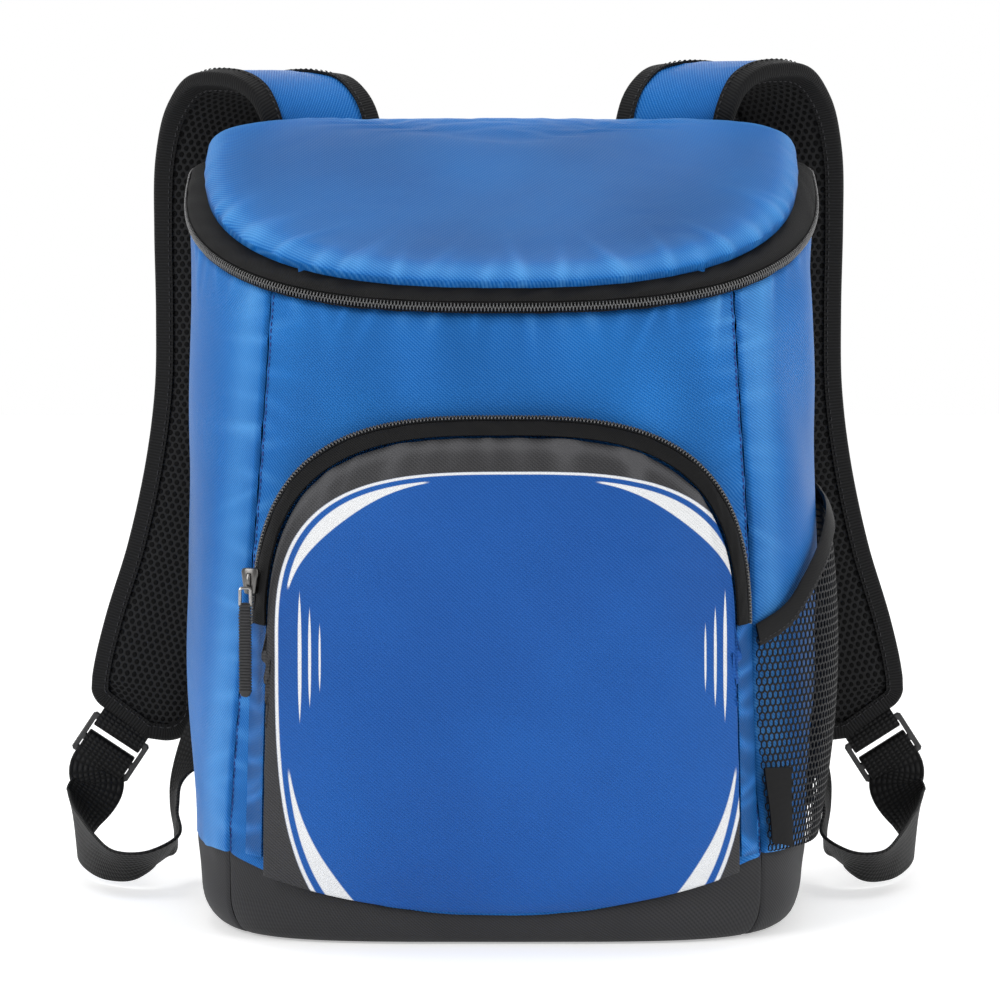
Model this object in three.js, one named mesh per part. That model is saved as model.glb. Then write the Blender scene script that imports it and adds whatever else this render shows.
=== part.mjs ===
// A soft-sided cooler backpack standing on its base. Its padded panels close round one hollow
// compartment, a zipped lid slopes forward over it, a flat pocket is zipped to its front and a
// net pocket hangs on one side. Two padded shoulder straps arch over the back and hang down
// behind, each joined by a ladder lock to a loop of webbing that ends on the back panel.
// Millimetres. X runs across, Y from the front to the wearer's back, Z up. The origin is the
// middle of the base, on the floor.

import * as THREE from "three";
import { mergeVertices } from "three/addons/utils/BufferGeometryUtils.js";

const { PI, abs, acos, asin, cos, max, min, sign, sin, sqrt, tan } = Math;

// The body
const bodyWidth = 330;
const frontReach = 153; // from the widest line of the plan forward to the front panel
const backReach = 30; // from the widest line back to the back panel
const widestLine = 58; // how far the widest line lies behind the origin
const frontHeight = 317;
const lidSlope = 21.9; // degrees, rising towards the back
const wallThickness = 6;
const backPadding = 9;
const floorThickness = 5;
const bandThickness = 3;
const seamGap = 0.3;
const backSquareness = 4;
const backSeamShare = 0.86;

// The base band, which turns under the body in a soft round
const bandHeightFront = 15.5;
const bandHeightSide = 44;
const bandRise = 2.05;
const baseRoundHeight = 20;
const baseRoundSide = 13;
const baseRoundFront = 8;
const baseRoundBack = 6;

// The lid and its zip, which stands out as a ridge round the top
const lidThickness = 7;
const lidInsetSide = 10.5; // from the body's widest plan in to the lid's edge
const lidInsetFront = 10;
const lidWidth = bodyWidth - 2 * lidInsetSide;
const lidReach = frontReach - lidInsetFront;
const lidSquareness = 2.5;
const lidCrownFront = 6;
const lidCrownBack = 20;
const zipBandHeight = 12.8;
const zipRidgeFront = 7.5; // how far the ridge stands out from the front
const zipRidgeSide = 2.5;
const zipTape = 1.6;
const zipChainThickness = 2.4;
const zipEndShare = 0.8; // where the zip ends on the back, as a share of the half width

// The front pocket. Its arch is drawn round a centre, and the zip fills the space between the
// cloth front and a wider arch on the body.
const pocketCentre = 150;
const pocketInset = 48.5; // from the body's widest plan in to the edge of the cloth front
const pocketHalf = bodyWidth / 2 - pocketInset;
const pocketArch = 106.5;
const pocketArchSquareness = 3;
const pocketZipSpread = 6; // how much wider the zip's arch on the body is, and how much higher
const pocketZipLift = 7.8;
const pocketZipHalf = pocketHalf + pocketZipSpread;
const pocketZipArch = pocketArch + pocketZipLift;
const pocketZipFoot = 163; // height at which both ends of the zip stop
const pocketDepth = 20;
const pocketPuff = 4;
const pocketSplay = 5; // how much wider the cloth front is at its foot than at its centre
const pocketCloth = 3;
const gussetSpread = 9; // how far outside the cloth front the gussets meet the body
const gussetCloth = 2;

// The net pocket, on the right-hand side
const netPuff = 9;
const netThickness = 1.4;
const netThread = 0.15; // of a cell
const netColumns = 7;
const netRows = 6;
const netBindingWidth = 11;
const netBindingThickness = 2.4;
const labelShare = 0.1; // of the way round the net
const labelHeight = 40;
const labelThickness = 1;

// The shoulder straps
const strapWidth = 63;
const strapThickness = 11;
const strapEdgeThickness = 4.6;
const strapCover = 1.6;
const strapStandOff = 62; // from the back panel to the hanging stretch
const strapTop = 123; // from the front panel's top edge up to the arch
const strapCutSlope = 30; // degrees, the slanted cut of the lower end
const strapInnerCorner = 22;
const strapOuterCorner = 6;
const bindingWidth = 10;
const bindingThickness = 1.5;
const padSlope = 22; // how far in from its edge the pad reaches its full thickness

// The webbing and its ladder locks
const webbingWidth = 30;
const webbingThickness = 1.8;
const lockWidth = 37;
const lockLength = 25;
const lockThickness = 3.4;
const lockBar = 3.6;
const lockRail = 3;
const lockSlot = 10;
const lockOffset = 3; // from the strap's cut end to the lock
const lockAcross = 11; // from the strap's centre line to the lock's

// The zip sliders and the pocket's pull
const sliderLength = 13;
const sliderWidth = 9;
const sliderHeight = 4.5;
const pullLength = 47;
const pullWidth = 6.5;
const pullThickness = 3;
const linkLength = 9;
const linkWire = 1.6;

// The body's plan at several heights: half width and forward reach as shares of their sizes, how
// square its front corners are, and where the seams between the front and side panels run.
const bodySections = [
  { height: 0.0, half: 0.953, reach: 0.977, square: 4.4, leftSeam: 0.88, rightSeam: 0.84 },
  { height: 0.06, half: 0.955, reach: 0.979, square: 4.4, leftSeam: 0.876, rightSeam: 0.836 },
  { height: 0.16, half: 0.97, reach: 0.985, square: 4.3, leftSeam: 0.864, rightSeam: 0.822 },
  { height: 0.36, half: 0.99, reach: 1.0, square: 3.9, leftSeam: 0.818, rightSeam: 0.768 },
  { height: 0.6, half: 1.0, reach: 1.0, square: 3.5, leftSeam: 0.762, rightSeam: 0.757 },
  { height: 1.0, half: 0.995, reach: 0.935, square: 2.7, leftSeam: 0.712, rightSeam: 0.718 },
  { height: 1.3, half: 0.985, reach: 0.905, square: 2.6, leftSeam: 0.69, rightSeam: 0.7 },
];

// The section of a zipped edge, from where it leaves the body (0) to the cloth that it opens
// (1). out: 0 on the inner line, 1 on the ridge; rise: 0 on the body, 1 on the far side.
const lidZipSection = [
  { place: 0.0, out: 0.1, rise: 0.05 },
  { place: 0.25, out: 0.8, rise: 0.14 },
  { place: 0.4, out: 1.0, rise: 0.28 },
  { place: 0.62, out: 1.0, rise: 0.62 },
  { place: 0.72, out: 0.82, rise: 0.78 },
  { place: 1.0, out: 0.0, rise: 1.0 },
];
const pocketZipSection = [
  { place: 0.0, out: 1.0, rise: 0.05 },
  { place: 0.25, out: 1.0, rise: 0.4 },
  { place: 0.5, out: 0.85, rise: 0.78 },
  { place: 0.75, out: 0.45, rise: 0.95 },
  { place: 1.0, out: 0.0, rise: 1.0 },
];

// How far the edge of the pocket's cloth front stands off the body, as a share of its depth, by
// height as a share of the front's.
const pocketSections = [
  { height: 0.05, depth: 0.2 },
  { height: 0.14, depth: 0.62 },
  { height: 0.3, depth: 1.0 },
  { height: 0.55, depth: 0.95 },
  { height: 0.85, depth: 0.6 },
];

// The net's top edge, as shares of the front's height, and its fullness, from the front seam (0)
// to the back seam (1).
const netSections = [
  { share: 0.0, top: 0.47, puff: 0.0 },
  { share: 0.12, top: 0.5, puff: 0.25 },
  { share: 0.2, top: 0.537, puff: 0.5 },
  { share: 0.3, top: 0.58, puff: 0.8 },
  { share: 0.45, top: 0.635, puff: 1.0 },
  { share: 0.75, top: 0.66, puff: 0.6 },
  { share: 1.0, top: 0.665, puff: 0.0 },
];

// The centre line of the left shoulder strap, from its sewn root over the arch to its lower end.
// across: shares of half the body's width; back: of the stand-off behind the back panel;
// up: of the height of the arch; swing: degrees that its outer edge swings to the front.
const strapStations = [
  { across: -0.558, back: 0.126, up: 0.832, swing: 0 },
  { across: -0.57, back: 0.13, up: 0.885, swing: 2 },
  { across: -0.594, back: 0.165, up: 0.938, swing: 10 },
  { across: -0.668, back: 0.29, up: 0.975, swing: 24 },
  { across: -0.78, back: 0.53, up: 0.99, swing: 34 },
  { across: -0.885, back: 0.79, up: 0.982, swing: 30 },
  { across: -0.945, back: 0.95, up: 0.944, swing: 20 },
  { across: -0.975, back: 1.0, up: 0.885, swing: 9 },
  { across: -0.979, back: 1.0, up: 0.805, swing: 3 },
  { across: -0.976, back: 1.0, up: 0.7, swing: 0 },
  { across: -0.982, back: 1.0, up: 0.6, swing: 0 },
  { across: -1.018, back: 1.0, up: 0.497, swing: 0 },
  { across: -1.085, back: 1.0, up: 0.386, swing: 0 },
  { across: -1.165, back: 1.0, up: 0.29, swing: 0 },
  { across: -1.205, back: 1.0, up: 0.225, swing: 0 },
  { across: -1.217, back: 1.0, up: 0.156, swing: 0 },
];

// The left webbing's loop below its ladder lock. across: shares of half the body's width; back:
// of the strap's stand-off; up: of the front height; side, out and top: the way its width points.
const webbingStations = [
  { across: -1.376, back: 0.91, up: 0.134, side: 0.8, out: -0.08, top: -0.58 },
  { across: -1.418, back: 0.79, up: 0.099, side: 0.45, out: 0.1, top: -0.88 },
  { across: -1.43, back: 0.45, up: 0.075, side: 0.1, out: 0.05, top: -0.99 },
  { across: -1.392, back: 0.065, up: 0.062, side: 0.0, out: 0.3, top: -0.95 },
  { across: -1.317, back: -0.32, up: 0.05, side: 0.0, out: 0.6, top: -0.8 },
  { across: -1.225, back: -0.56, up: 0.046, side: 0.2, out: 0.75, top: -0.6 },
  { across: -1.136, back: -0.6, up: 0.058, side: 0.1, out: 0.9, top: -0.35 },
  { across: -1.07, back: -0.48, up: 0.08, side: -0.1, out: 0.95, top: -0.25 },
  { across: -1.068, back: -0.29, up: 0.114, side: -0.1, out: 0.85, top: -0.5 },
  { across: -1.072, back: -0.07, up: 0.157, side: -0.25, out: 0.85, top: -0.4 },
  { across: -1.04, back: 0.07, up: 0.2, side: -0.55, out: 0.8, top: -0.1 },
  { across: -0.96, back: 0.15, up: 0.26, side: -0.9, out: 0.35, top: 0.3 },
  { across: -0.82, back: 0.09, up: 0.335, side: -0.82, out: 0.08, top: 0.57 },
];
const webbingEnd = { across: -0.65, up: 0.41, side: -0.78, top: 0.62 };

// What differs between the two straps: how much higher one arches, as a share of the arch, and
// how much wider it hangs, as a share of half the body's width
const strapSides = [
  { name: "left", side: -1, lift: 0, spread: 0 },
  { name: "right", side: 1, lift: 0.04, spread: -0.018 },
];

// One column of a table, read smoothly at a place along the column that orders it.
function column(rows, order, name, place) {
  const last = rows.length - 1;
  const clamped = min(max(place, rows[0][order]), rows[last][order]);
  let i = 0;
  while (i < last - 1 && clamped > rows[i + 1][order]) i++;
  const [before, from, to, after] = [rows[max(i - 1, 0)], rows[i], rows[i + 1], rows[min(i + 2, last)]];
  const span = to[order] - from[order];
  const t = (clamped - from[order]) / span;
  const startSlope = ((to[name] - before[name]) / (to[order] - before[order])) * span;
  const endSlope = ((after[name] - from[name]) / (after[order] - from[order])) * span;
  const [t2, t3] = [t * t, t * t * t];
  return (
    (2 * t3 - 3 * t2 + 1) * from[name] +
    (t3 - 2 * t2 + t) * startSlope +
    (3 * t2 - 2 * t3) * to[name] +
    (t3 - t2) * endSlope
  );
}

const vector = (x, y, z) => new THREE.Vector3(x, y, z);
const radians = (degrees) => (degrees * PI) / 180;
const mix = (from, to, share) => from + (to - from) * share;
const smooth = (share) => THREE.MathUtils.smoothstep(share, 0, 1);

// A geometry with its shared vertices merged and its collapsed triangles dropped.
function closedGeometry(points, triangles) {
  const positions = new Float32Array(points.flatMap((p) => [p.x, p.y, p.z]));
  const loose = new THREE.BufferGeometry();
  loose.setAttribute("position", new THREE.BufferAttribute(positions, 3));
  loose.setIndex(triangles);
  const merged = mergeVertices(loose, 1e-3);
  const index = merged.index.array;
  const kept = [];
  for (let i = 0; i < index.length; i += 3) {
    const [a, b, c] = [index[i], index[i + 1], index[i + 2]];
    if (a !== b && b !== c && c !== a) kept.push(a, b, c);
  }
  merged.setIndex(kept);
  return merged;
}

// The closed solid between two faces, each a function of u and v from 0 to 1. A face that is
// closed in u meets itself there and gets no walls on that side.
function solidBetween(outside, inside, columns, rows, closed = false) {
  const points = [];
  for (const face of [outside, inside])
    for (let j = 0; j <= rows; j++)
      for (let i = 0; i <= columns; i++) points.push(face(i / columns, j / rows));
  const at = (face, i, j) => (face * (rows + 1) + j) * (columns + 1) + i;
  const triangles = [];
  const quad = (a, b, c, d) => triangles.push(a, b, c, a, c, d);
  for (let j = 0; j < rows; j++)
    for (let i = 0; i < columns; i++) {
      quad(at(0, i, j), at(0, i + 1, j), at(0, i + 1, j + 1), at(0, i, j + 1));
      quad(at(1, i, j), at(1, i, j + 1), at(1, i + 1, j + 1), at(1, i + 1, j));
    }
  for (let i = 0; i < columns; i++) {
    quad(at(0, i + 1, 0), at(0, i, 0), at(1, i, 0), at(1, i + 1, 0));
    quad(at(0, i, rows), at(0, i + 1, rows), at(1, i + 1, rows), at(1, i, rows));
  }
  for (let j = 0; j < rows && !closed; j++) {
    quad(at(0, 0, j), at(0, 0, j + 1), at(1, 0, j + 1), at(1, 0, j));
    quad(at(0, columns, j + 1), at(0, columns, j), at(1, columns, j), at(1, columns, j + 1));
  }
  return closedGeometry(points, triangles);
}

// The way a face looks at one place: across u, then along v.
function normalOf(face, u, v) {
  const step = 1e-3;
  const [u0, u1] = [max(u - step, 0), min(u + step, 1)];
  const [v0, v1] = [max(v - step, 0), min(v + step, 1)];
  const across = face(u1, v).sub(face(u0, v));
  const along = face(u, v1).sub(face(u, v0));
  return across.cross(along).normalize();
}

// The same face moved along its own normals; outwards is positive.
const offset = (face, distance) => (u, v) =>
  face(u, v).addScaledVector(normalOf(face, u, v), distance);

const clothSheet = (face, thickness, columns, rows, closed) =>
  solidBetween(face, offset(face, -thickness), columns, rows, closed);

// A closed solid swept through rings of points, all with as many points. Rings turn round the
// way they travel, and the two ends are filled as fans from their own middles.
function solidThrough(rings) {
  const points = rings.flat();
  const count = rings[0].length;
  const triangles = [];
  for (let r = 0; r < rings.length - 1; r++)
    for (let i = 0; i < count; i++) {
      const [a, b] = [r * count + i, r * count + ((i + 1) % count)];
      triangles.push(a, b, b + count, a, b + count, a + count);
    }
  for (const [ring, first] of [
    [rings[0], 0],
    [rings[rings.length - 1], (rings.length - 1) * count],
  ]) {
    const flat = THREE.ShapeUtils.triangulateShape(flattened(ring), []);
    for (const [a, b, c] of flat)
      if (first === 0) triangles.push(first + c, first + b, first + a);
      else triangles.push(first + a, first + b, first + c);
  }
  return closedGeometry(points, triangles);
}

// A ring of points in its own plane, turning the way it was given.
function flattened(ring) {
  const middle = ring.reduce((sum, p) => sum.add(p), vector(0, 0, 0)).divideScalar(ring.length);
  const normal = vector(0, 0, 0);
  ring.forEach((p, i) => {
    const next = ring[(i + 1) % ring.length];
    normal.add(p.clone().sub(middle).cross(next.clone().sub(middle)));
  });
  normal.normalize();
  const right = ring[0].clone().sub(middle).projectOnPlane(normal).normalize();
  const up = normal.clone().cross(right);
  return ring.map((p) => {
    const away = p.clone().sub(middle);
    return new THREE.Vector2(away.dot(right), away.dot(up));
  });
}

const material = (colour, roughness, metalness = 0) =>
  new THREE.MeshStandardMaterial({ color: colour, roughness, metalness });
const blueCloth = material(0x1560b8, 0.45);
const blackCloth = material(0x1c1c1e, 0.85);
const charcoalCloth = material(0x39393b, 0.7);
const pocketClothBlue = material(0x1f55b0, 0.5);
const zipBlack = material(0x161617, 0.5);
const netBlack = material(0x111112, 0.8);
const plasticBlack = material(0x141415, 0.4);
const metalDark = material(0x3a3836, 0.35, 0.9);

const backpack = new THREE.Group();

function addPiece(name, geometry, finish) {
  const mesh = new THREE.Mesh(geometry, finish);
  mesh.name = name;
  backpack.add(mesh);
}

// The body's outer surface

// A point on the plan at one height. turn is 0 at the front's middle and grows towards the
// right-hand side; half a turn is the back's middle. proud moves the plan outwards.
function planPoint(turn, height, proud = 0) {
  const level = height / frontHeight;
  const rounding = height < baseRoundHeight ? 1 - sqrt(1 - (1 - height / baseRoundHeight) ** 2) : 0;
  const half =
    (bodyWidth / 2) * column(bodySections, "height", "half", level) - baseRoundSide * rounding + proud;
  const [across, along] = [sin(turn), cos(turn)];
  if (along >= 0) {
    const power = 2 / column(bodySections, "height", "square", level);
    const reach =
      frontReach * column(bodySections, "height", "reach", level) - baseRoundFront * rounding + proud;
    return vector(half * sign(across) * abs(across) ** power, widestLine - reach * along ** power, height);
  }
  const power = 2 / backSquareness;
  const reach = backReach - baseRoundBack * rounding + proud;
  return vector(half * sign(across) * abs(across) ** power, widestLine + reach * abs(along) ** power, height);
}

// The turn at which the plan passes a share of its half width, in front or at the back.
const turnAtFront = (share, height) =>
  asin(min(share, 1) ** (column(bodySections, "height", "square", height / frontHeight) / 2));
const turnAtBack = (share) => PI - asin(share ** (backSquareness / 2));

const frontSeam = (side, height) =>
  turnAtFront(column(bodySections, "height", side + "Seam", height / frontHeight), height);
const backSeam = turnAtBack(backSeamShare);

// The sloping plane that the walls end in, and the one that the lid's edge lies in
const frontTop = planPoint(0, frontHeight).y;
const wallPlane = (y) => frontHeight + (y - frontTop) * tan(radians(lidSlope));
const lidPlane = (y) => wallPlane(y) + zipBandHeight;

// The height at which the plan meets the sloping plane at one turn.
function wallTop(turn, proud = 0) {
  let height = frontHeight;
  for (let i = 0; i < 8; i++) height = wallPlane(planPoint(turn, height, proud).y);
  return height;
}

// The top of the base band: a low curve across the front, level along the sides.
function bandTop(turn) {
  const seam = frontSeam(turn < 0 ? "left" : "right", bandHeightSide);
  const share = min(abs(turn) / seam, 1);
  const across = planPoint(share * seam, bandHeightSide).x / planPoint(seam, bandHeightSide).x;
  return mix(bandHeightFront, bandHeightSide, across ** bandRise);
}

const seamAngle = (2.4 * seamGap) / bodyWidth;

// A wall panel between two edges, each a turn for every height.
function wallPanel(fromTurn, toTurn, thickness, columns, rows, extraTop = () => 0) {
  const face = (u, v) => {
    let turn = mix(fromTurn(frontHeight / 2), toTurn(frontHeight / 2), u);
    let height = 0;
    for (let i = 0; i < 4; i++) {
      const [low, high] = [bandTop(turn) + seamGap, wallTop(turn) + extraTop(turn)];
      height = mix(low, high, v);
      turn = mix(fromTurn(height), toTurn(height), u);
    }
    return planPoint(turn, height);
  };
  return clothSheet(face, thickness, columns, rows);
}

// A panel of the base band, turned under to the floor. Its rows follow the round, then rise
// straight to the seam.
function bandPanel(fromTurn, toTurn, columns, rows) {
  const face = (u, v) => {
    const guess = mix(fromTurn(bandHeightSide), toTurn(bandHeightSide), u);
    const top = bandTop(guess);
    const roundShare = acos(max(1 - top / baseRoundHeight, 0)) / (PI / 2);
    const straight = max(top - baseRoundHeight, 0) / baseRoundHeight;
    const along = v * (roundShare + straight);
    const height =
      along < 1
        ? baseRoundHeight * (1 - cos((along * PI) / 2))
        : baseRoundHeight * along;
    return planPoint(mix(fromTurn(height), toTurn(height), u), height);
  };
  return clothSheet(face, bandThickness, columns, rows);
}

const rightOfFront = (height) => frontSeam("right", height) + seamAngle;
const leftOfFront = (height) => -frontSeam("left", height) - seamAngle;
const rightFrontEdge = (height) => frontSeam("right", height) - seamAngle;
const leftFrontEdge = (height) => seamAngle - frontSeam("left", height);
const rightBackEdge = () => backSeam - seamAngle;
const leftBackEdge = () => -rightBackEdge();
const backRight = () => backSeam + seamAngle;
const backLeft = () => 2 * PI - backSeam - seamAngle;

addPiece("front_panel", wallPanel(leftFrontEdge, rightFrontEdge, wallThickness, 12, 6), blueCloth);
addPiece("side_panel_right", wallPanel(rightOfFront, rightBackEdge, wallThickness, 10, 6), blueCloth);
addPiece("side_panel_left", wallPanel(leftBackEdge, leftOfFront, wallThickness, 10, 6), blueCloth);
addPiece("base_band_front", bandPanel(leftFrontEdge, rightFrontEdge, 12, 4), charcoalCloth);
addPiece("base_band_right", bandPanel(rightOfFront, rightBackEdge, 10, 4), charcoalCloth);
addPiece("base_band_left", bandPanel(leftBackEdge, leftOfFront, 10, 4), charcoalCloth);

// The lid

// A point of the lid's outline. inset is how far inside its edge it lies.
function lidOutline(turn, inset = 0) {
  const [across, along] = [sin(turn), cos(turn)];
  const half = lidWidth / 2 - inset;
  const front = along >= 0;
  const power = 2 / (front ? lidSquareness : backSquareness);
  const reach = (front ? lidReach : backReach - backPadding - seamGap * 2) - inset;
  const x = half * sign(across) * abs(across) ** power;
  return vector(x, widestLine - reach * sign(along) * abs(along) ** power, 0);
}

// How far the padded lid stands over its plane, from its middle (0) to its edge (1).
const lidRise = (share) => sqrt(max(1 - share ** 8, 0));
const lidCrown = (y) =>
  mix(lidCrownFront, lidCrownBack, smooth((y - (widestLine - lidReach)) / (lidReach + backReach)));

function lidSurface(inset, drop) {
  return (u, v) => {
    const turn = mix(-PI, PI, u);
    const share = 1 - v ** 1.7;
    const edge = lidOutline(turn, inset);
    const x = edge.x * share;
    const y = mix(widestLine, edge.y, share);
    return vector(x, y, lidPlane(y) + lidCrown(y) * lidRise(share) - drop);
  };
}

addPiece(
  "lid_panel",
  solidBetween(lidSurface(0, 0), lidSurface(lidThickness, lidThickness), 30, 5, true),
  blueCloth,
);

// The back panel rises past the walls to the lid's edge between the two ends of the zip.
const zipEnd = turnAtBack(zipEndShare);
const hingeRise = zipBandHeight - seamGap;
const backTopRise = (turn) => hingeRise * smooth((abs(sin(zipEnd)) - abs(sin(turn))) / 0.12);

addPiece(
  "back_panel",
  wallPanel(backRight, backLeft, backPadding, 10, 6, backTopRise),
  blackCloth,
);
const backBandInset = (3.5 * bandThickness) / bodyWidth;
const bandBackRight = () => backRight() + backBandInset;
const bandBackLeft = () => backLeft() - backBandInset;
addPiece("base_band_back", bandPanel(bandBackRight, bandBackLeft, 8, 4), blackCloth);

// The floor panel fills the ring that the turned-under band leaves.
function floorPanel() {
  const rim = (height) => (u, v) => {
    const edge = planPoint(mix(-PI, PI, u), 0, -4 * seamGap);
    const middle = widestLine + (backReach - frontReach) / 2;
    return vector(edge.x * v, mix(middle, edge.y, v), height);
  };
  return solidBetween(rim(0), rim(floorThickness), 32, 1, true);
}
addPiece("base_floor", floorPanel(), blackCloth);

// The lid's zip runs from one end on the back, round the front, to the other end.
const zipProud = (turn) => mix(zipRidgeSide, zipRidgeFront, max(cos(turn), 0) ** 2);

function lidZipPoint(turn, place) {
  const foot = planPoint(turn, wallTop(turn));
  const ridge = planPoint(turn, wallTop(turn), zipProud(turn));
  const edge = lidOutline(turn, -seamGap);
  const out = column(lidZipSection, "place", "out", place);
  const rise = column(lidZipSection, "place", "rise", place);
  const inner = place < 0.5 ? foot : edge;
  const x = mix(inner.x, ridge.x, out);
  const y = mix(inner.y, ridge.y, out);
  return vector(x, y, wallPlane(y) + seamGap + (zipBandHeight - seamGap * 2) * rise);
}

function lidZipStrip(from, to, thickness, columns, rows) {
  const face = (u, v) => lidZipPoint(mix(-zipEnd, zipEnd, u), mix(from, to, v));
  return clothSheet(face, thickness, columns, rows);
}

addPiece("lid_zip_tape_lower", lidZipStrip(0, 0.36, zipTape, 26, 2), charcoalCloth);
addPiece("lid_zip_chain", lidZipStrip(0.4, 0.62, zipChainThickness, 26, 1), zipBlack);
addPiece("lid_zip_tape_upper", lidZipStrip(0.67, 1, zipTape, 26, 2), charcoalCloth);

// The front pocket

// The body's front at one place, seen from the front.
function frontFace(x, height, proud = 0) {
  const level = height / frontHeight;
  const rounding = height < baseRoundHeight ? 1 - sqrt(1 - (1 - height / baseRoundHeight) ** 2) : 0;
  const half = (bodyWidth / 2) * column(bodySections, "height", "half", level) - baseRoundSide * rounding;
  const reach = frontReach * column(bodySections, "height", "reach", level) - baseRoundFront * rounding;
  const square = column(bodySections, "height", "square", level);
  return vector(x, widestLine - reach * (1 - abs(x / half) ** square) ** (1 / square) - proud, height);
}

// A point on the pocket's arch, at an angle from straight up. share is 0 on the edge of the
// cloth front and 1 on the wider arch where the zip meets the body.
function pocketArchPoint(angle, share) {
  const half = mix(pocketHalf, pocketZipHalf, share);
  const rise = mix(pocketArch, pocketZipArch, share);
  const square = pocketArchSquareness;
  const radius = (abs(sin(angle) / half) ** square + abs(cos(angle) / rise) ** square) ** (-1 / square);
  return { x: radius * sin(angle), height: pocketCentre + radius * cos(angle) };
}

const pocketEdgeDepth = (height) =>
  pocketDepth * column(pocketSections, "height", "depth", height / frontHeight);

// The angle from straight up at which the zip's ends reach their foot.
const zipFootAngle = acos((pocketZipFoot - pocketCentre) / pocketZipHalf);

function pocketZipPoint(angle, place) {
  const out = column(pocketZipSection, "place", "out", place);
  const rise = column(pocketZipSection, "place", "rise", place);
  const { x, height } = pocketArchPoint(angle, out);
  return frontFace(x, height, seamGap * 2 + (pocketEdgeDepth(height) - seamGap * 2) * rise);
}

function pocketZipStrip(from, to, thickness, columns, rows) {
  const face = (u, v) => pocketZipPoint(mix(zipFootAngle, -zipFootAngle, u), mix(to, from, v));
  return clothSheet(face, thickness, columns, rows);
}

// The cloth front, from the base seam to the arch, fullest in the middle.
function pocketFrontFace(u, v) {
  const across = mix(2 * u - 1, sin((u - 0.5) * PI), 0.85);
  const edgeHalf = pocketHalf - seamGap * 2;
  const footTurn = turnAtFront((edgeHalf * abs(across)) / (bodyWidth / 2), bandHeightSide);
  const low = bandTop(sign(across) * footTurn) + seamGap * 2;
  const high =
    pocketCentre + (pocketArch - seamGap * 2) * (1 - abs(across) ** pocketArchSquareness) ** (1 / pocketArchSquareness);
  const height = mix(low, high, v);
  const above = max(height - pocketCentre, 0) / pocketArch;
  const edge = min(abs(across) ** pocketArchSquareness + above ** pocketArchSquareness, 1);
  const fullness = (1 - edge ** 2) * smooth((height - low) / pocketDepth / 2);
  const x = (edgeHalf + pocketSplay * max(1 - height / pocketCentre, 0)) * across;
  return frontFace(x, height, pocketEdgeDepth(height) + pocketPuff * fullness);
}

// The gusset below one end of the zip, between the body and the cloth front's edge.
function pocketGusset(side) {
  const face = (u, v) => {
    const height = mix(bandHeightSide + seamGap, pocketZipFoot - seamGap, v);
    const out = side > 0 ? u : 1 - u;
    const edge = pocketHalf + pocketSplay * max(1 - height / pocketCentre, 0);
    const x = side * (edge + seamGap + (gussetSpread - seamGap) * out);
    const front = pocketEdgeDepth(height) - pocketCloth - 2 * seamGap;
    const depth = mix(front, 2 * seamGap + gussetCloth, out ** 1.6);
    return frontFace(x, height, depth);
  };
  return clothSheet(face, gussetCloth, 2, 8);
}

addPiece("pocket_front", clothSheet(pocketFrontFace, pocketCloth, 14, 6), pocketClothBlue);
addPiece("pocket_gusset_left", pocketGusset(-1), blueCloth);
addPiece("pocket_gusset_right", pocketGusset(1), blueCloth);
addPiece("pocket_zip_tape_outer", pocketZipStrip(0, 0.18, zipTape, 24, 1), charcoalCloth);
addPiece("pocket_zip_chain", pocketZipStrip(0.24, 0.5, zipChainThickness, 24, 1), zipBlack);
addPiece("pocket_zip_tape_inner", pocketZipStrip(0.56, 0.97, zipTape, 24, 2), charcoalCloth);


// The net pocket on the right-hand side

// The turn of the net at one height, from the front seam (0) to the back seam (1).
const netTurn = (share, height) => mix(rightOfFront(height), rightBackEdge(), share);
const netTop = (share) => frontHeight * column(netSections, "share", "top", share);
const netClear = netThickness + netBindingThickness + seamGap;

function netPoint(share, up, proud = 0) {
  const height = mix(bandHeightSide + 2 * seamGap, netTop(share), up);
  const puff = netPuff * column(netSections, "share", "puff", share) * sin(PI * min(0.12 + 0.7 * up, 1));
  return planPoint(netTurn(share, height), height, netClear + puff + proud);
}

// A net cut through in every cell of its grid, with threads round each gap.
function netBetween(outside, inside, columns, rows, thread) {
  const points = [];
  const triangles = [];
  const quad = (a, b, c, d) => triangles.push(a, b, c, a, c, d);
  const corners = (i, j, inset) => [
    [(i + inset) / columns, (j + inset) / rows],
    [(i + 1 - inset) / columns, (j + inset) / rows],
    [(i + 1 - inset) / columns, (j + 1 - inset) / rows],
    [(i + inset) / columns, (j + 1 - inset) / rows],
  ];
  const add = (face, places) => places.map(([u, v]) => points.push(face(u, v)) - 1);
  for (let i = 0; i < columns; i++)
    for (let j = 0; j < rows; j++) {
      const [outer, gap] = [corners(i, j, 0), corners(i, j, thread)];
      const [frontOuter, frontGap] = [add(outside, outer), add(outside, gap)];
      const [backOuter, backGap] = [add(inside, outer), add(inside, gap)];
      const rim = [j === 0, i === columns - 1, j === rows - 1, i === 0];
      for (let k = 0; k < 4; k++) {
        const n = (k + 1) % 4;
        quad(frontOuter[k], frontOuter[n], frontGap[n], frontGap[k]);
        quad(backOuter[n], backOuter[k], backGap[k], backGap[n]);
        quad(frontGap[k], frontGap[n], backGap[n], backGap[k]);
        if (rim[k]) quad(frontOuter[n], frontOuter[k], backOuter[k], backOuter[n]);
      }
    }
  return closedGeometry(points, triangles);
}

const netOutside = (u, v) => netPoint(u, v);
addPiece(
  "net_pocket",
  netBetween(netOutside, offset(netOutside, -netThickness), netColumns, netRows, netThread),
  netBlack,
);

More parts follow.
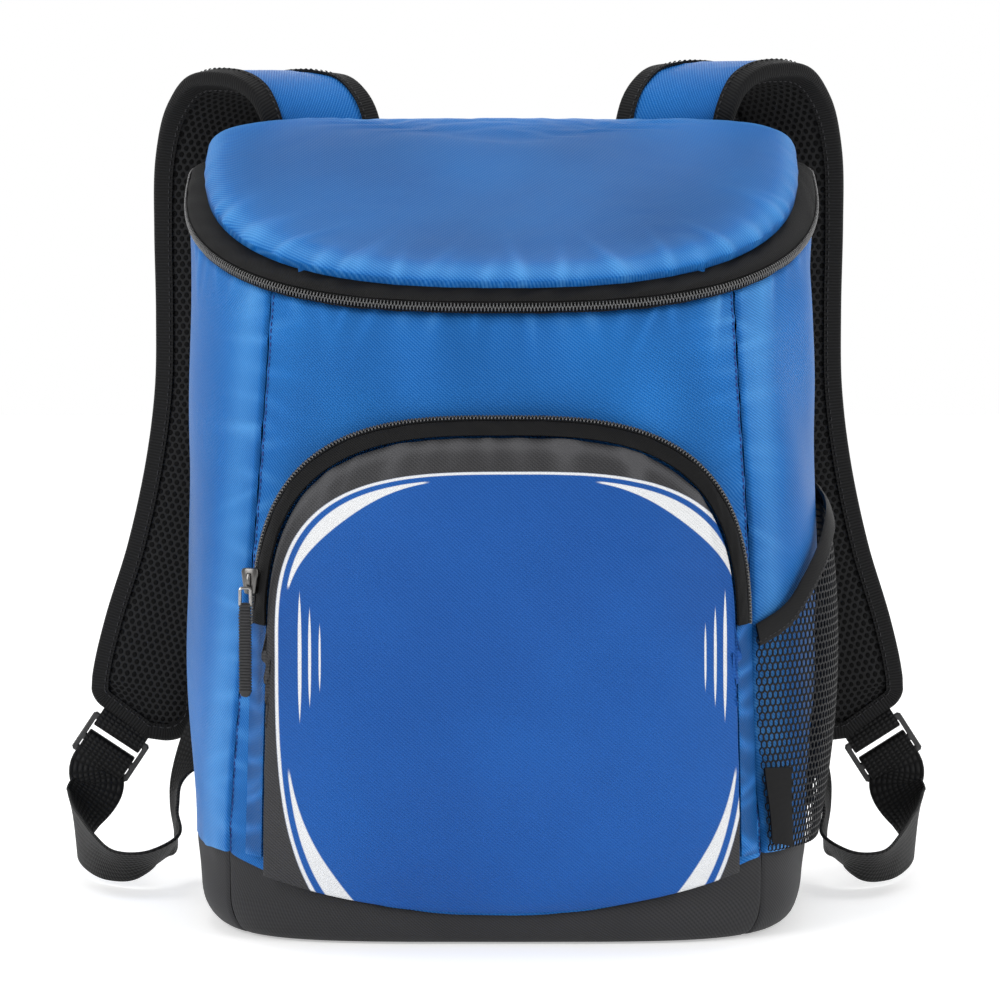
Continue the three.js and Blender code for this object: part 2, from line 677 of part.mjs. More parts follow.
// The binding along the net's top edge
const bindingFace = (u, v) => {
  const rise = (7 * seamGap + netBindingWidth * v) / (netTop(u) - bandHeightSide);
  return netPoint(u, 1 + rise, netBindingThickness - netThickness - v * netBindingThickness);
};
addPiece("net_pocket_binding", clothSheet(bindingFace, netBindingThickness, 12, 1), blackCloth);

// The label, bare, sewn into the front seam over the net's lower corner
const labelFace = (u, v) => {
  const height = bandHeightSide + labelHeight * mix(0.03, 1, v) + 4 * (1 - u);
  const up = (height - bandHeightSide) / (netTop(0) - bandHeightSide);
  return netPoint(labelShare * u, up, labelThickness + 2 * seamGap);
};
addPiece("side_label", clothSheet(labelFace, labelThickness, 3, 4), blackCloth);

// The shoulder straps

const half = bodyWidth / 2;
const backFace = widestLine + backReach;
const archHeight = frontHeight + strapTop;

// The strap's centre line with the way that its width and its outer side point, at each station
// and halfway between the stations of the arch.
function strapFrames(lift, spread) {
  const path = new THREE.CatmullRomCurve3(
    strapStations.map(({ across, back, up }) =>
      vector(
        half * (across - spread * up ** -0.3),
        backFace + strapStandOff * back,
        archHeight * up + strapTop * lift * smooth(up * 2 - 1),
      ),
    ),
    false,
    "centripetal",
  );
  const last = strapStations.length - 1;
  const places = [];
  for (let i = 0; i <= last; i++) {
    places.push(i);
    if (i > 1 && i < 6) places.push(i + 0.5);
  }
  return places.map((place) => {
    const centre = path.getPoint(place / last);
    const along = path.getTangent(place / last);
    const [low, high] = [strapStations[Math.floor(place)], strapStations[Math.ceil(place)]];
    const swing = radians(mix(low.swing, high.swing, place % 1));
    const across = vector(-cos(swing), -sin(swing), 0).projectOnPlane(along).normalize();
    return { centre, across, along, up: along.clone().cross(across) };
  });
}

// How far the lower end is cut back from the centre line's end, at a distance across.
function strapCut(across) {
  const slanted = max(across, 0) * tan(radians(strapCutSlope));
  const corner = across > 0 ? strapOuterCorner : strapInnerCorner;
  const beyond = min(max((abs(across) - strapWidth / 2 + corner) / corner, 0), 1);
  return slanted + corner * (1 - sqrt(1 - beyond ** 2));
}

// A row of places down the strap: the stations, then three steps to the lower end's outline.
const strapEndSteps = [0.45, 0.8, 1];
const endTaper = 0.9; // how much smaller the pad is than its binding at the rounded end

function strapPoint(frames, row, across, height, inset) {
  const last = frames.length - 1;
  const frame = frames[min(row, last - 1)];
  const step = row < last ? 0 : strapEndSteps[row - last];
  const room = frames[last].centre.clone().sub(frame.centre);
  const reach = (room.length() - strapCut(across) - inset) * step;
  return frame.centre
    .clone()
    .addScaledVector(room.normalize(), reach)
    .addScaledVector(frame.across, across)
    .addScaledVector(frame.up, height);
}

// Half the pad's thickness at a distance from its edge.
const padHalf = (inside) =>
  mix(strapEdgeThickness, strapThickness, min(inside / padSlope, 1)) / 2;

// A layer of the strap between two heights, each a share of the pad's half thickness.
function strapLayer(frames, lowFace, highFace) {
  const clear = bindingThickness + seamGap;
  const edge = strapWidth / 2;
  const columns = [edge - clear, edge - bindingWidth, edge - padSlope, 0];
  const across = [...columns, ...columns.slice(0, 3).reverse().map((x) => -x)];
  const rows = frames.length + strapEndSteps.length - 2;
  const face = (level) => (u, v) => {
    const row = Math.round(v * rows);
    const taper = row < frames.length - 1 ? 1 : endTaper;
    const x = across[Math.round(u * (across.length - 1))] * taper;
    const step = row < frames.length - 1 ? 0 : strapEndSteps[row - frames.length + 1];
    const fromEnd = (1 - step) * padSlope * 1.5;
    const thick = padHalf(min(edge - abs(x / taper), max(fromEnd, clear))) * taper;
    return strapPoint(frames, row, x, level(thick), clear * 1.7);
  };
  return solidBetween(face(highFace), face(lowFace), across.length - 1, rows);
}

// The binding wraps the strap's edge: down the outer side, round the cut end, up the inner side.
function strapBinding(frames) {
  const edge = strapWidth / 2;
  const rows = frames.length + strapEndSteps.length - 2;
  const stations = [];
  for (let row = 0; row < rows; row++) stations.push({ row, across: edge, down: 0 });
  for (let k = 0; k <= 8; k++) {
    const across = edge * cos((k / 8) * PI);
    stations.push({ row: rows, across, down: sin((k / 8) * PI) });
  }
  for (let row = rows - 1; row >= 0; row--) stations.push({ row, across: -edge, down: 0 });
  const inner = (inside) => padHalf(inside) + seamGap;
  const outer = (inside) => padHalf(inside) + seamGap + bindingThickness;
  const section = [
    [bindingWidth, outer(bindingWidth)],
    [0, outer(0)],
    [0, -outer(0)],
    [bindingWidth, -outer(bindingWidth)],
    [bindingWidth, -inner(bindingWidth)],
    [bindingThickness, -inner(0)],
    [bindingThickness, inner(0)],
    [bindingWidth, inner(bindingWidth)],
  ];
  const rings = stations.map(({ row, across, down }) => {
    const point = strapPoint(frames, row, across, 0, 0);
    const frame = frames[min(row, frames.length - 1)];
    const inwards = frame.across
      .clone()
      .multiplyScalar(-sign(across) * sqrt(1 - down ** 2))
      .addScaledVector(frames[frames.length - 1].along, -down)
      .normalize();
    return section.map(([inside, height]) =>
      point.clone().addScaledVector(inwards, inside).addScaledVector(frame.up, height),
    );
  });
  return solidThrough(rings.reverse());
}

// A plate lying on a place: its outline across and along, its thickness outwards.
function placed(geometry, centre, across, along) {
  const up = across.clone().cross(along).normalize();
  return geometry.applyMatrix4(new THREE.Matrix4().makeBasis(across, along, up).setPosition(centre));
}

function plate(width, length, thickness, corner, holes = []) {
  const [x, y] = [width / 2 - corner, length / 2 - corner];
  const outline = new THREE.Shape();
  outline.absarc(x, y, corner, 0, PI / 2);
  outline.absarc(-x, y, corner, PI / 2, PI);
  outline.absarc(-x, -y, corner, PI, 1.5 * PI);
  outline.absarc(x, -y, corner, 1.5 * PI, 2 * PI);
  outline.holes = holes.map(({ width: w, length: l, middle }) =>
    new THREE.Path([
      new THREE.Vector2(-w / 2, middle - l / 2),
      new THREE.Vector2(w / 2, middle - l / 2),
      new THREE.Vector2(w / 2, middle + l / 2),
      new THREE.Vector2(-w / 2, middle + l / 2),
    ]),
  );
  const solid = new THREE.ExtrudeGeometry(outline, { depth: thickness, bevelEnabled: false, curveSegments: 2 });
  solid.translate(0, 0, -thickness / 2);
  return solid;
}

// A strip of webbing through sections, each a centre and the way that its width points.
function webbing(sections) {
  const rings = sections.map(({ centre, width }, i) => {
    const before = sections[max(i - 1, 0)].centre;
    const after = sections[min(i + 1, sections.length - 1)].centre;
    const along = after.clone().sub(before).normalize();
    const across = width.clone().projectOnPlane(along).normalize().multiplyScalar(webbingWidth / 2);
    const up = along.clone().cross(across).normalize().multiplyScalar(webbingThickness / 2);
    return [
      centre.clone().add(across).add(up),
      centre.clone().sub(across).add(up),
      centre.clone().sub(across).sub(up),
      centre.clone().add(across).sub(up),
    ];
  });
  return solidThrough(rings);
}

// The frame of a ladder lock: where its top lies, and the ways across it, down it and forwards.
function lockFrame(frames) {
  const last = frames.length - 1;
  const rows = last + strapEndSteps.length - 1;
  const turn = radians(strapCutSlope);
  const { across, along, up } = frames[last];
  const down = along.clone().applyAxisAngle(up, turn);
  const sideways = across.clone().applyAxisAngle(up, turn);
  const top = strapPoint(frames, rows, lockAcross, 0, 0);
  return { top, down, sideways, front: up.clone().negate() };
}

const lockPlace = ({ top, down, front }, along, forward) =>
  top.clone().addScaledVector(down, along).addScaledVector(front, forward);

function ladderLock(frame) {
  const holeWidth = lockWidth - 2 * lockRail;
  const lower = lockLength - 3 * lockBar - lockSlot;
  const holes = [
    { width: holeWidth, length: lockSlot, middle: -lockLength / 2 + lockBar + lockSlot / 2 },
    { width: holeWidth, length: lower, middle: lockLength / 2 - lockBar - lower / 2 },
  ];
  const solid = plate(lockWidth, lockLength, lockThickness, 3, holes);
  return placed(solid, lockPlace(frame, lockOffset + lockLength / 2, 0), frame.sideways.clone().negate(), frame.down);
}

// How far webbing that wraps a bar of the lock lies from the lock's middle plane, and its path
// round the bar's free edge: how far beyond the edge, and how far forwards.
const wrap = lockThickness / 2 + 2 * seamGap + webbingThickness / 2;
const wrapBeyond = wrap - lockThickness / 2 + 4 * seamGap;
const wrapPath = [
  [0, wrap],
  [wrapBeyond * 0.65, wrap * 0.74],
  [wrapBeyond, wrap * 0.25],
  [wrapBeyond, -wrap * 0.25],
  [wrapBeyond * 0.65, -wrap * 0.74],
  [0, -wrap],
];

function tab(frame) {
  const edge = lockOffset + lockBar;
  const round = wrapPath.map(([beyond, forward]) => [edge + beyond, forward]);
  const places = [
    [lockOffset / 2, wrap * 0.5],
    [lockOffset + seamGap, wrap],
    ...round,
    [lockOffset + seamGap, -wrap],
    [lockOffset / 2, -wrap * 0.5],
  ];
  return webbing(
    places.map(([along, forward]) => ({ centre: lockPlace(frame, along, forward), width: frame.sideways })),
  );
}

// The adjusting strap: round the lock's middle bar, over its last one, through the loop and up to
// the back panel, where its end is sewn flat.
function adjustingStrap(frame, spread) {
  const edge = lockOffset + lockBar + lockSlot;
  const round = wrapPath.map(([beyond, forward]) => [edge - beyond, -forward]);
  const places = [[edge + lockBar, -wrap], ...round, [lockOffset + lockLength, wrap]];
  const width = frame.sideways.clone().negate();
  const wrapped = places.map(([along, forward]) => ({ centre: lockPlace(frame, along, forward), width }));
  const loop = webbingStations.map(({ across, back, up, side: x, out, top }) => ({
    centre: vector(
      half * (across - 5 * spread * max(abs(across) - 1, 0)),
      backFace + strapStandOff * back,
      frontHeight * up,
    ),
    width: vector(x, out, top),
  }));
  const { across, up, side: x, top } = webbingEnd;
  const seat = planPoint(-turnAtBack(-across), frontHeight * up, seamGap + webbingThickness / 2);
  loop.push({ centre: seat, width: vector(x, 0, top) });
  const free = [...wrapped.slice(-1), ...loop];
  const path = new THREE.CatmullRomCurve3(free.map(({ centre }) => centre), false, "centripetal");
  const sections = [...wrapped];
  for (let i = 0.5; i <= free.length - 1; i += 0.5) {
    const [low, high] = [free[Math.floor(i)], free[Math.ceil(i)]];
    const width = low.width.clone().lerp(high.width, i % 1);
    sections.push({ centre: path.getPoint(i / (free.length - 1)), width });
  }
  return webbing(sections);
}

// A geometry mirrored left to right.
function mirrored(geometry) {
  geometry.scale(-1, 1, 1);
  const index = geometry.index ? [...geometry.index.array] : [...geometry.getAttribute("position").array.keys()];
  const order = geometry.index ? index : index.slice(0, geometry.getAttribute("position").count);
  for (let i = 0; i < order.length; i += 3) [order[i], order[i + 1]] = [order[i + 1], order[i]];
  geometry.setIndex(order);
  return geometry;
}

// The zip sliders and their pulls

// A slider seated on a chain, lifted a little off its face at u and v.
function sliderOn(face, u, v, lift) {
  const normal = normalOf(face, u, v);
  const step = 0.01;
  const along = face(u, min(v + step, 1)).sub(face(u, v)).normalize();
  const centre = face(u, v).addScaledVector(normal, sliderHeight / 2 + lift);
  const across = along.clone().cross(normal).normalize();
  return placed(plate(sliderWidth, sliderLength, sliderHeight, 2.5), centre, across, normal.clone().cross(across));
}

// A pull hanging straight down below a place, facing the way given, and the link above it.
function hangingPlate(top, facing, width, length, thickness, holes = []) {
  const along = vector(0, 0, -1);
  const across = along.clone().cross(facing).normalize();
  const centre = top.clone().addScaledVector(along, length / 2);
  return placed(plate(width, length, thickness, 1.2, holes), centre, across, along);
}

const pocketSliderAngle = -acos((pocketZipFoot + 1.6 * sliderLength - pocketCentre) / pocketZipHalf);
const pocketChainFace = (u, v) => pocketZipPoint(mix(pocketSliderAngle, -zipFootAngle, v), mix(0.24, 0.5, u));
addPiece("pocket_zip_slider", sliderOn(pocketChainFace, 0.5, 0, 3 * seamGap), metalDark);

const linkHole = { width: pullWidth - 2 * linkWire - 1, length: linkLength - 2 * linkWire, middle: 0 };
const sliderSeat = pocketChainFace(0.5, 0);
const linkTop = vector(
  sliderSeat.x - pullWidth / 2 - pullThickness,
  sliderSeat.y - sliderHeight - linkWire - 3 * seamGap,
  sliderSeat.z - sliderLength / 2 + pullThickness,
);
const towardsFront = vector(0, -1, 0);
addPiece(
  "pocket_zip_link",
  hangingPlate(linkTop, towardsFront, pullWidth - 1, linkLength, linkWire, [linkHole]),
  metalDark,
);
const pullTop = linkTop.clone().add(vector(0, 0, -linkLength - seamGap));
addPiece("pocket_zip_pull", hangingPlate(pullTop, towardsFront, pullWidth, pullLength, pullThickness), blackCloth);

const lidChainFace = (u, v) => lidZipPoint(mix(-zipEnd, -zipEnd + 0.1, u), mix(0.4, 0.62, v));
const lidSliderFace = (u, v) => lidChainFace(v, 1 - u);
addPiece("lid_zip_slider", sliderOn(lidSliderFace, 0.5, 0.7, seamGap), metalDark);
const lidSliderSeat = lidSliderFace(0.5, 0.7);
const lidPullOut = sliderHeight + pullThickness / 2 + 4 * seamGap;
const lidPullTop = vector(lidSliderSeat.x, lidSliderSeat.y + lidPullOut, lidSliderSeat.z + pullThickness);
addPiece(
  "lid_zip_pull",
  hangingPlate(lidPullTop, vector(0, 1, 0), pullWidth, pullLength / 2, pullThickness),
  blackCloth,
);

for (const { name, side, lift, spread } of strapSides) {
  const frames = strapFrames(lift, spread);
  const lock = lockFrame(frames);
  const pieces = [
    ["strap_pad", strapLayer(frames, (t) => -t, (t) => t - strapCover - seamGap), netBlack],
    ["strap_cover", strapLayer(frames, (t) => t - strapCover, (t) => t), blueCloth],
    ["strap_binding", strapBinding(frames), blackCloth],
    ["strap_tab", tab(lock), blackCloth],
    ["ladder_lock", ladderLock(lock), plasticBlack],
    ["adjusting_strap", adjustingStrap(lock, spread), blackCloth],
  ];
  for (const [piece, geometry, finish] of pieces)
    addPiece(piece + "_" + name, side < 0 ? geometry : mirrored(geometry), finish);
}

export default backpack;
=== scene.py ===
import math
import bmesh
import bpy
import numpy as np
from mathutils import Matrix, Vector


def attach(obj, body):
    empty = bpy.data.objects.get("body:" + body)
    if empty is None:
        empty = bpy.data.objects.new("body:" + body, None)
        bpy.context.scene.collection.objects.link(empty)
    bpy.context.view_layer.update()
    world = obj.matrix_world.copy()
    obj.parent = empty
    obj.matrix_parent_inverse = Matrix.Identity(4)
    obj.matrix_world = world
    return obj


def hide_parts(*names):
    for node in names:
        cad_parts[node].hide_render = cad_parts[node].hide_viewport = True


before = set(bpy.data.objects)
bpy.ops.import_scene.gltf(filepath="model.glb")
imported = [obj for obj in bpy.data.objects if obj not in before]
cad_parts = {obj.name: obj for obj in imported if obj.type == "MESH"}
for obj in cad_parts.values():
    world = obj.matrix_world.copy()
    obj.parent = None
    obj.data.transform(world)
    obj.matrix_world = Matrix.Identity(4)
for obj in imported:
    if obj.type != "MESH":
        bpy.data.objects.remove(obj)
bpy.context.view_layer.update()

# The studio: a camera that looks a little down on the bag's front, a pale floor, a white backdrop
# behind it, and broad soft lights from above, from both sides and from behind.
camera = bpy.data.objects.new("camera", bpy.data.cameras.new("camera"))
bpy.context.collection.objects.link(camera)
camera.location = (0.0, -1.99239, 0.39031)
camera_aim = Vector((0.0, 0.0, 0.216))
camera.rotation_euler = (camera_aim - camera.location).to_track_quat("-Z", "Y").to_euler()
camera.data.lens = 138.4
camera.data.sensor_width = 36.0
camera.data.clip_start = 0.05
camera.data.shift_x = -0.0015
bpy.context.scene.camera = camera
bpy.context.scene.view_settings.view_transform = "Standard"


def soft_light(name, place, aim, width, height, watts):
    """A rectangular softbox at a place, turned towards a point."""
    lamp = bpy.data.lights.new(name, "AREA")
    lamp.shape = "RECTANGLE"
    lamp.size, lamp.size_y, lamp.energy = width, height, watts
    light = bpy.data.objects.new(name, lamp)
    bpy.context.collection.objects.link(light)
    light.location = place
    light.rotation_euler = (Vector(aim) - Vector(place)).to_track_quat("-Z", "Y").to_euler()


soft_light("softbox_left", (-1.5, -1.5, 1.1), (0, 0, 0.22), 0.9, 1.4, 26)
soft_light("softbox_right", (1.7, -1.1, 0.9), (0, 0, 0.22), 0.9, 1.4, 17)
soft_light("softbox_top", (0.0, 0.3, 2.0), (0, 0, 0.25), 1.6, 1.2, 15)
soft_light("softbox_back", (0.3, 2.2, 1.2), (0, 0, 0.3), 1.8, 1.2, 4)

world = bpy.data.worlds.new("studio")
bpy.context.scene.world = world
world.use_nodes = True
sky = world.node_tree.nodes["Background"].inputs
sky["Color"].default_value = (1.0, 1.0, 1.0, 1.0)
sky["Strength"].default_value = 0.36


class Value:
    """A socket of a shader. Maths on it adds Math nodes."""

    def __init__(self, finish, socket):
        self.finish, self.socket = finish, socket

    def maths(self, operation, *values):
        return self.finish.node("ShaderNodeMath", {"operation": operation}, dict(enumerate(values)))

    def __add__(self, other): return self.maths("ADD", self, other)
    def __radd__(self, other): return self.maths("ADD", other, self)
    def __sub__(self, other): return self.maths("SUBTRACT", self, other)
    def __rsub__(self, other): return self.maths("SUBTRACT", other, self)
    def __mul__(self, other): return self.maths("MULTIPLY", self, other)
    def __rmul__(self, other): return self.maths("MULTIPLY", other, self)
    def __truediv__(self, other): return self.maths("DIVIDE", self, other)
    def __pow__(self, other): return self.maths("POWER", self, other)
    def __mod__(self, other): return self.maths("FLOORED_MODULO", self, other)
    def __neg__(self): return self.maths("MULTIPLY", self, -1.0)
    def __abs__(self): return self.maths("ABSOLUTE", self)
    def sine(self): return self.maths("SINE", self)
    def least(self, other): return self.maths("MINIMUM", self, other)
    def most(self, other): return self.maths("MAXIMUM", self, other)

    def ramp(self, low, high):
        """0 below low, 1 above high and a smooth rise between them."""
        return self.finish.node(
            "ShaderNodeMapRange", {"interpolation_type": "SMOOTHSTEP"},
            {"Value": self, "From Min": low, "From Max": high, "To Min": 0.0, "To Max": 1.0})


class Finish:
    """A material. Constants go on its shader's own sockets, and drawn patterns are linked in."""

    def __init__(self, name, **constants):
        self.material = bpy.data.materials.new(name)
        self.material.use_nodes = True
        self.tree = self.material.node_tree
        self.shader = self.tree.nodes["Principled BSDF"]
        for socket, value in constants.items():
            self.shader.inputs[socket.replace("_", " ")].default_value = value

    def node(self, kind, settings, values, output=0):
        made = self.tree.nodes.new(kind)
        for key, value in settings.items():
            setattr(made, key, value)
        for key, value in values.items():
            if isinstance(value, Value):
                self.tree.links.new(value.socket, made.inputs[key])
            else:
                made.inputs[key].default_value = value
        return Value(self, made.outputs[output])

    def uv(self):
        """Distances along and up the cloth, in metres."""
        place = self.node("ShaderNodeUVMap", {"uv_map": "cloth"}, {})
        return [self.node("ShaderNodeSeparateXYZ", {}, {0: place}, axis) for axis in (0, 1)]

    def place(self):
        """Object coordinates, in metres."""
        spot = self.node("ShaderNodeTexCoord", {}, {}, "Object")
        return [self.node("ShaderNodeSeparateXYZ", {}, {0: spot}, axis) for axis in (0, 1, 2)]

    def painted_light(self):
        """Painted light on the cloth, from -1 for painted shade in a fold to 1 for a painted highlight on its crest.
        """
        return self.node("ShaderNodeAttribute", {"attribute_name": "painted_light"}, {}, 2)

    def noise(self, scale, detail=2.0, rough=0.5):
        """Cloudy noise from 0 to 1, on Object coordinates."""
        spot = self.node("ShaderNodeTexCoord", {}, {}, "Object")
        values = {"Vector": spot, "Scale": scale, "Detail": detail, "Roughness": rough}
        return self.node("ShaderNodeTexNoise", {}, values)

    def blend(self, share, first, second):
        """One colour where share is 0 and the other where it is 1."""
        values = {"Factor": share, 6: first, 7: second}
        return self.node("ShaderNodeMix", {"data_type": "RGBA"}, values, 2)

    def finish(self, colour=None, roughness=None, height=None, depth=0.0002, strength=1.0):
        if colour is not None:
            self.tree.links.new(colour.socket, self.shader.inputs["Base Color"])
        if roughness is not None:
            self.tree.links.new(roughness.socket, self.shader.inputs["Roughness"])
        if height is not None:
            bump = self.node("ShaderNodeBump", {}, {"Height": height, "Distance": depth, "Strength": strength})
            self.tree.links.new(bump.socket, self.shader.inputs["Normal"])
        return self.material


floor_finish = Finish("pale_floor", Roughness=0.8, Emission_Color=(1.0, 1.0, 1.0, 1.0), Emission_Strength=0.42,
                      Specular_IOR_Level=0.0)
floor_tone = floor_finish.noise(1.5)
floor_material = floor_finish.finish(
    colour=floor_finish.blend(floor_tone, (0.88, 0.88, 0.88, 1), (0.90, 0.90, 0.90, 1)))


def plain_square(name, corners, material):
    mesh = bpy.data.meshes.new(name)
    mesh.from_pydata(corners, [], [(0, 1, 2, 3)])
    square = bpy.data.objects.new(name, mesh)
    bpy.context.collection.objects.link(square)
    square.data.materials.append(material)
    return square


floor_level, floor_reach, backdrop_distance, backdrop_foot, backdrop_top = -0.001, 9, 4, -0.5, 7
floor = plain_square("floor", [(-floor_reach, -floor_reach, floor_level), (floor_reach, -floor_reach, floor_level),
                               (floor_reach, floor_reach, floor_level), (-floor_reach, floor_reach, floor_level)],
                     floor_material)
backdrop_finish = Finish("white_backdrop", Base_Color=(0.0, 0.0, 0.0, 1.0), Specular_IOR_Level=0.0,
                         Emission_Color=(1.0, 1.0, 1.0, 1.0), Emission_Strength=1.0)
backdrop = plain_square(
    "backdrop", [(-floor_reach, backdrop_distance, backdrop_foot), (floor_reach, backdrop_distance, backdrop_foot),
                 (floor_reach, backdrop_distance, backdrop_top), (-floor_reach, backdrop_distance, backdrop_top)],
    backdrop_finish.material)

# The front panel: blue polyester twill over foam, from the base band to the lid's zip, sewn to
# the side panels in two long seams. Its plan is read from a short table of sections.
body_width = 0.330
front_reach = 0.153
back_reach = 0.030
widest_line = 0.058
front_height = 0.317
lid_slope = math.radians(21.9)
wall_thickness = 0.006
wall_cloth = wall_thickness - 0.001
wall_below_band = 0.002
seam_gap = 0.0003
back_squareness = 4.0
base_round_height = 0.020
base_round_side, base_round_front, base_round_back = 0.013, 0.008, 0.006
band_height_front, band_height_side, band_rise = 0.0155, 0.044, 2.05
body_columns = ("height", "half", "reach", "square", "left_seam", "right_seam")
body_sections = np.array([
    (0.0, 0.953, 0.977, 4.4, 0.88, 0.84),
    (0.06, 0.955, 0.979, 4.4, 0.876, 0.836),
    (0.16, 0.97, 0.985, 4.3, 0.864, 0.822),
    (0.36, 0.99, 1.0, 3.9, 0.818, 0.768),
    (0.6, 1.0, 1.0, 3.5, 0.762, 0.757),
    (1.0, 0.995, 0.935, 2.7, 0.712, 0.718),
    (1.3, 0.985, 0.905, 2.6, 0.69, 0.7),
])


def read(table, index, place):
    """One column of a table, read smoothly along its first column."""
    keys, values = table[:, 0], table[:, index]
    spot = np.clip(place, keys[0], keys[-1])
    i = np.searchsorted(keys[1:-1], spot, side="left")
    before, after = np.maximum(i - 1, 0), np.minimum(i + 2, len(keys) - 1)
    span = keys[i + 1] - keys[i]
    t = (spot - keys[i]) / span
    start = (values[i + 1] - values[before]) / (keys[i + 1] - keys[before]) * span
    end = (values[after] - values[i]) / (keys[after] - keys[i]) * span
    return ((2 * t**3 - 3 * t**2 + 1) * values[i] + (t**3 - 2 * t**2 + t) * start
            + (3 * t**2 - 2 * t**3) * values[i + 1] + (t**3 - t**2) * end)


def section(name, height):
    return read(body_sections, body_columns.index(name), np.asarray(height) / front_height)


def mix(start, end, share):
    return start + (end - start) * share


def smooth(share):
    share = np.clip(share, 0, 1)
    return share * share * (3 - 2 * share)


def base_rounding(height):
    return 1 - np.sqrt(1 - np.clip(1 - height / base_round_height, 0, 1) ** 2)


def plan_point(turn, height, proud=0.0):
    """A point of the body's plan. turn is 0 at the front's middle and pi at the back's."""
    turn, height = np.broadcast_arrays(np.asarray(turn, float), np.asarray(height, float))
    rounding = base_rounding(height)
    half = body_width / 2 * section("half", height) - base_round_side * rounding + proud
    across, along = np.sin(turn), np.cos(turn)
    ahead = along >= 0
    power = 2 / np.where(ahead, section("square", height), back_squareness)
    reach = np.where(ahead, front_reach * section("reach", height) - base_round_front * rounding,
                     back_reach - base_round_back * rounding) + proud
    x = half * np.sign(across) * np.abs(across) ** power
    y = widest_line - np.sign(along) * reach * np.abs(along) ** power
    return np.stack([x, y, height], -1)


def turn_at_front(share, height):
    return np.arcsin(np.minimum(share, 1) ** (section("square", height) / 2))


def turn_at_back(share):
    return math.pi - math.asin(share ** (back_squareness / 2))


def front_seam(side, height):
    return turn_at_front(section(side + "_seam", height), height)


back_seam = turn_at_back(0.86)
front_top = plan_point(0.0, front_height)[1]


def wall_plane(y):
    return front_height + (y - front_top) * math.tan(lid_slope)


def wall_top(turn):
    height = np.full(np.shape(turn), front_height)
    for _ in range(8):
        height = wall_plane(plan_point(turn, height)[..., 1])
    return height


def band_top(turn):
    """The seam between the walls and the base band: a low curve in front, level at the sides."""
    seam = np.where(turn < 0, front_seam("left", band_height_side), front_seam("right", band_height_side))
    share = np.minimum(np.abs(turn) / seam, 1)
    across = plan_point(share * seam, band_height_side)[..., 0] / plan_point(seam, band_height_side)[..., 0]
    return mix(band_height_front, band_height_side, across**band_rise)


def grid(columns, rows):
    return np.meshgrid(np.linspace(0, 1, columns + 1), np.linspace(0, 1, rows + 1))


def wall(from_turn, to_turn, columns, rows, extra_top=lambda turn: 0.0):
    """A panel of the body between two edges, each a turn for every height."""
    u, v = grid(columns, rows)
    turn = mix(from_turn(front_height / 2), to_turn(front_height / 2), u)
    for _ in range(4):
        height = mix(band_top(turn) - wall_below_band, wall_top(turn) + extra_top(turn), v)
        turn = mix(from_turn(height), to_turn(height), u)
    return plan_point(turn, height)


def facing(points):
    """Unit normals of a grid of points: across its columns, then up its rows."""
    normal = np.cross(np.gradient(points, axis=1), np.gradient(points, axis=0))
    return normal / np.maximum(np.linalg.norm(normal, axis=-1, keepdims=True), 1e-12)


def arc_length(line):
    """Distance covered at each point of a line."""
    return np.concatenate([[0], np.cumsum(np.linalg.norm(np.diff(line, axis=0), axis=1))])


def travelled(points, axis):
    """Distance covered along the columns or the rows of a grid."""
    steps = np.linalg.norm(np.diff(points, axis=axis), axis=-1)
    start = np.zeros_like(np.take(steps, [0], axis=axis))
    return np.concatenate([start, np.cumsum(steps, axis=axis)], axis=axis)


def new_piece(name, points, faces, uvs=None, smooth_angle=40.0):
    """An object from points, faces and a distance map for each point."""
    mesh = bpy.data.meshes.new(name)
    mesh.from_pydata(np.asarray(points).reshape(-1, 3).tolist(), [], faces)
    if uvs is not None:
        corners = np.empty(len(mesh.loops), dtype=np.int32)
        mesh.loops.foreach_get("vertex_index", corners)
        layer = mesh.uv_layers.new(name="cloth")
        layer.data.foreach_set("uv", np.asarray(uvs, float).reshape(-1, 2)[corners].ravel())
    mesh.polygons.foreach_set("use_smooth", [True] * len(mesh.polygons))
    mesh.set_sharp_from_angle(angle=math.radians(smooth_angle))
    mesh.update()
    piece = bpy.data.objects.new(name, mesh)
    bpy.context.collection.objects.link(piece)
    return piece


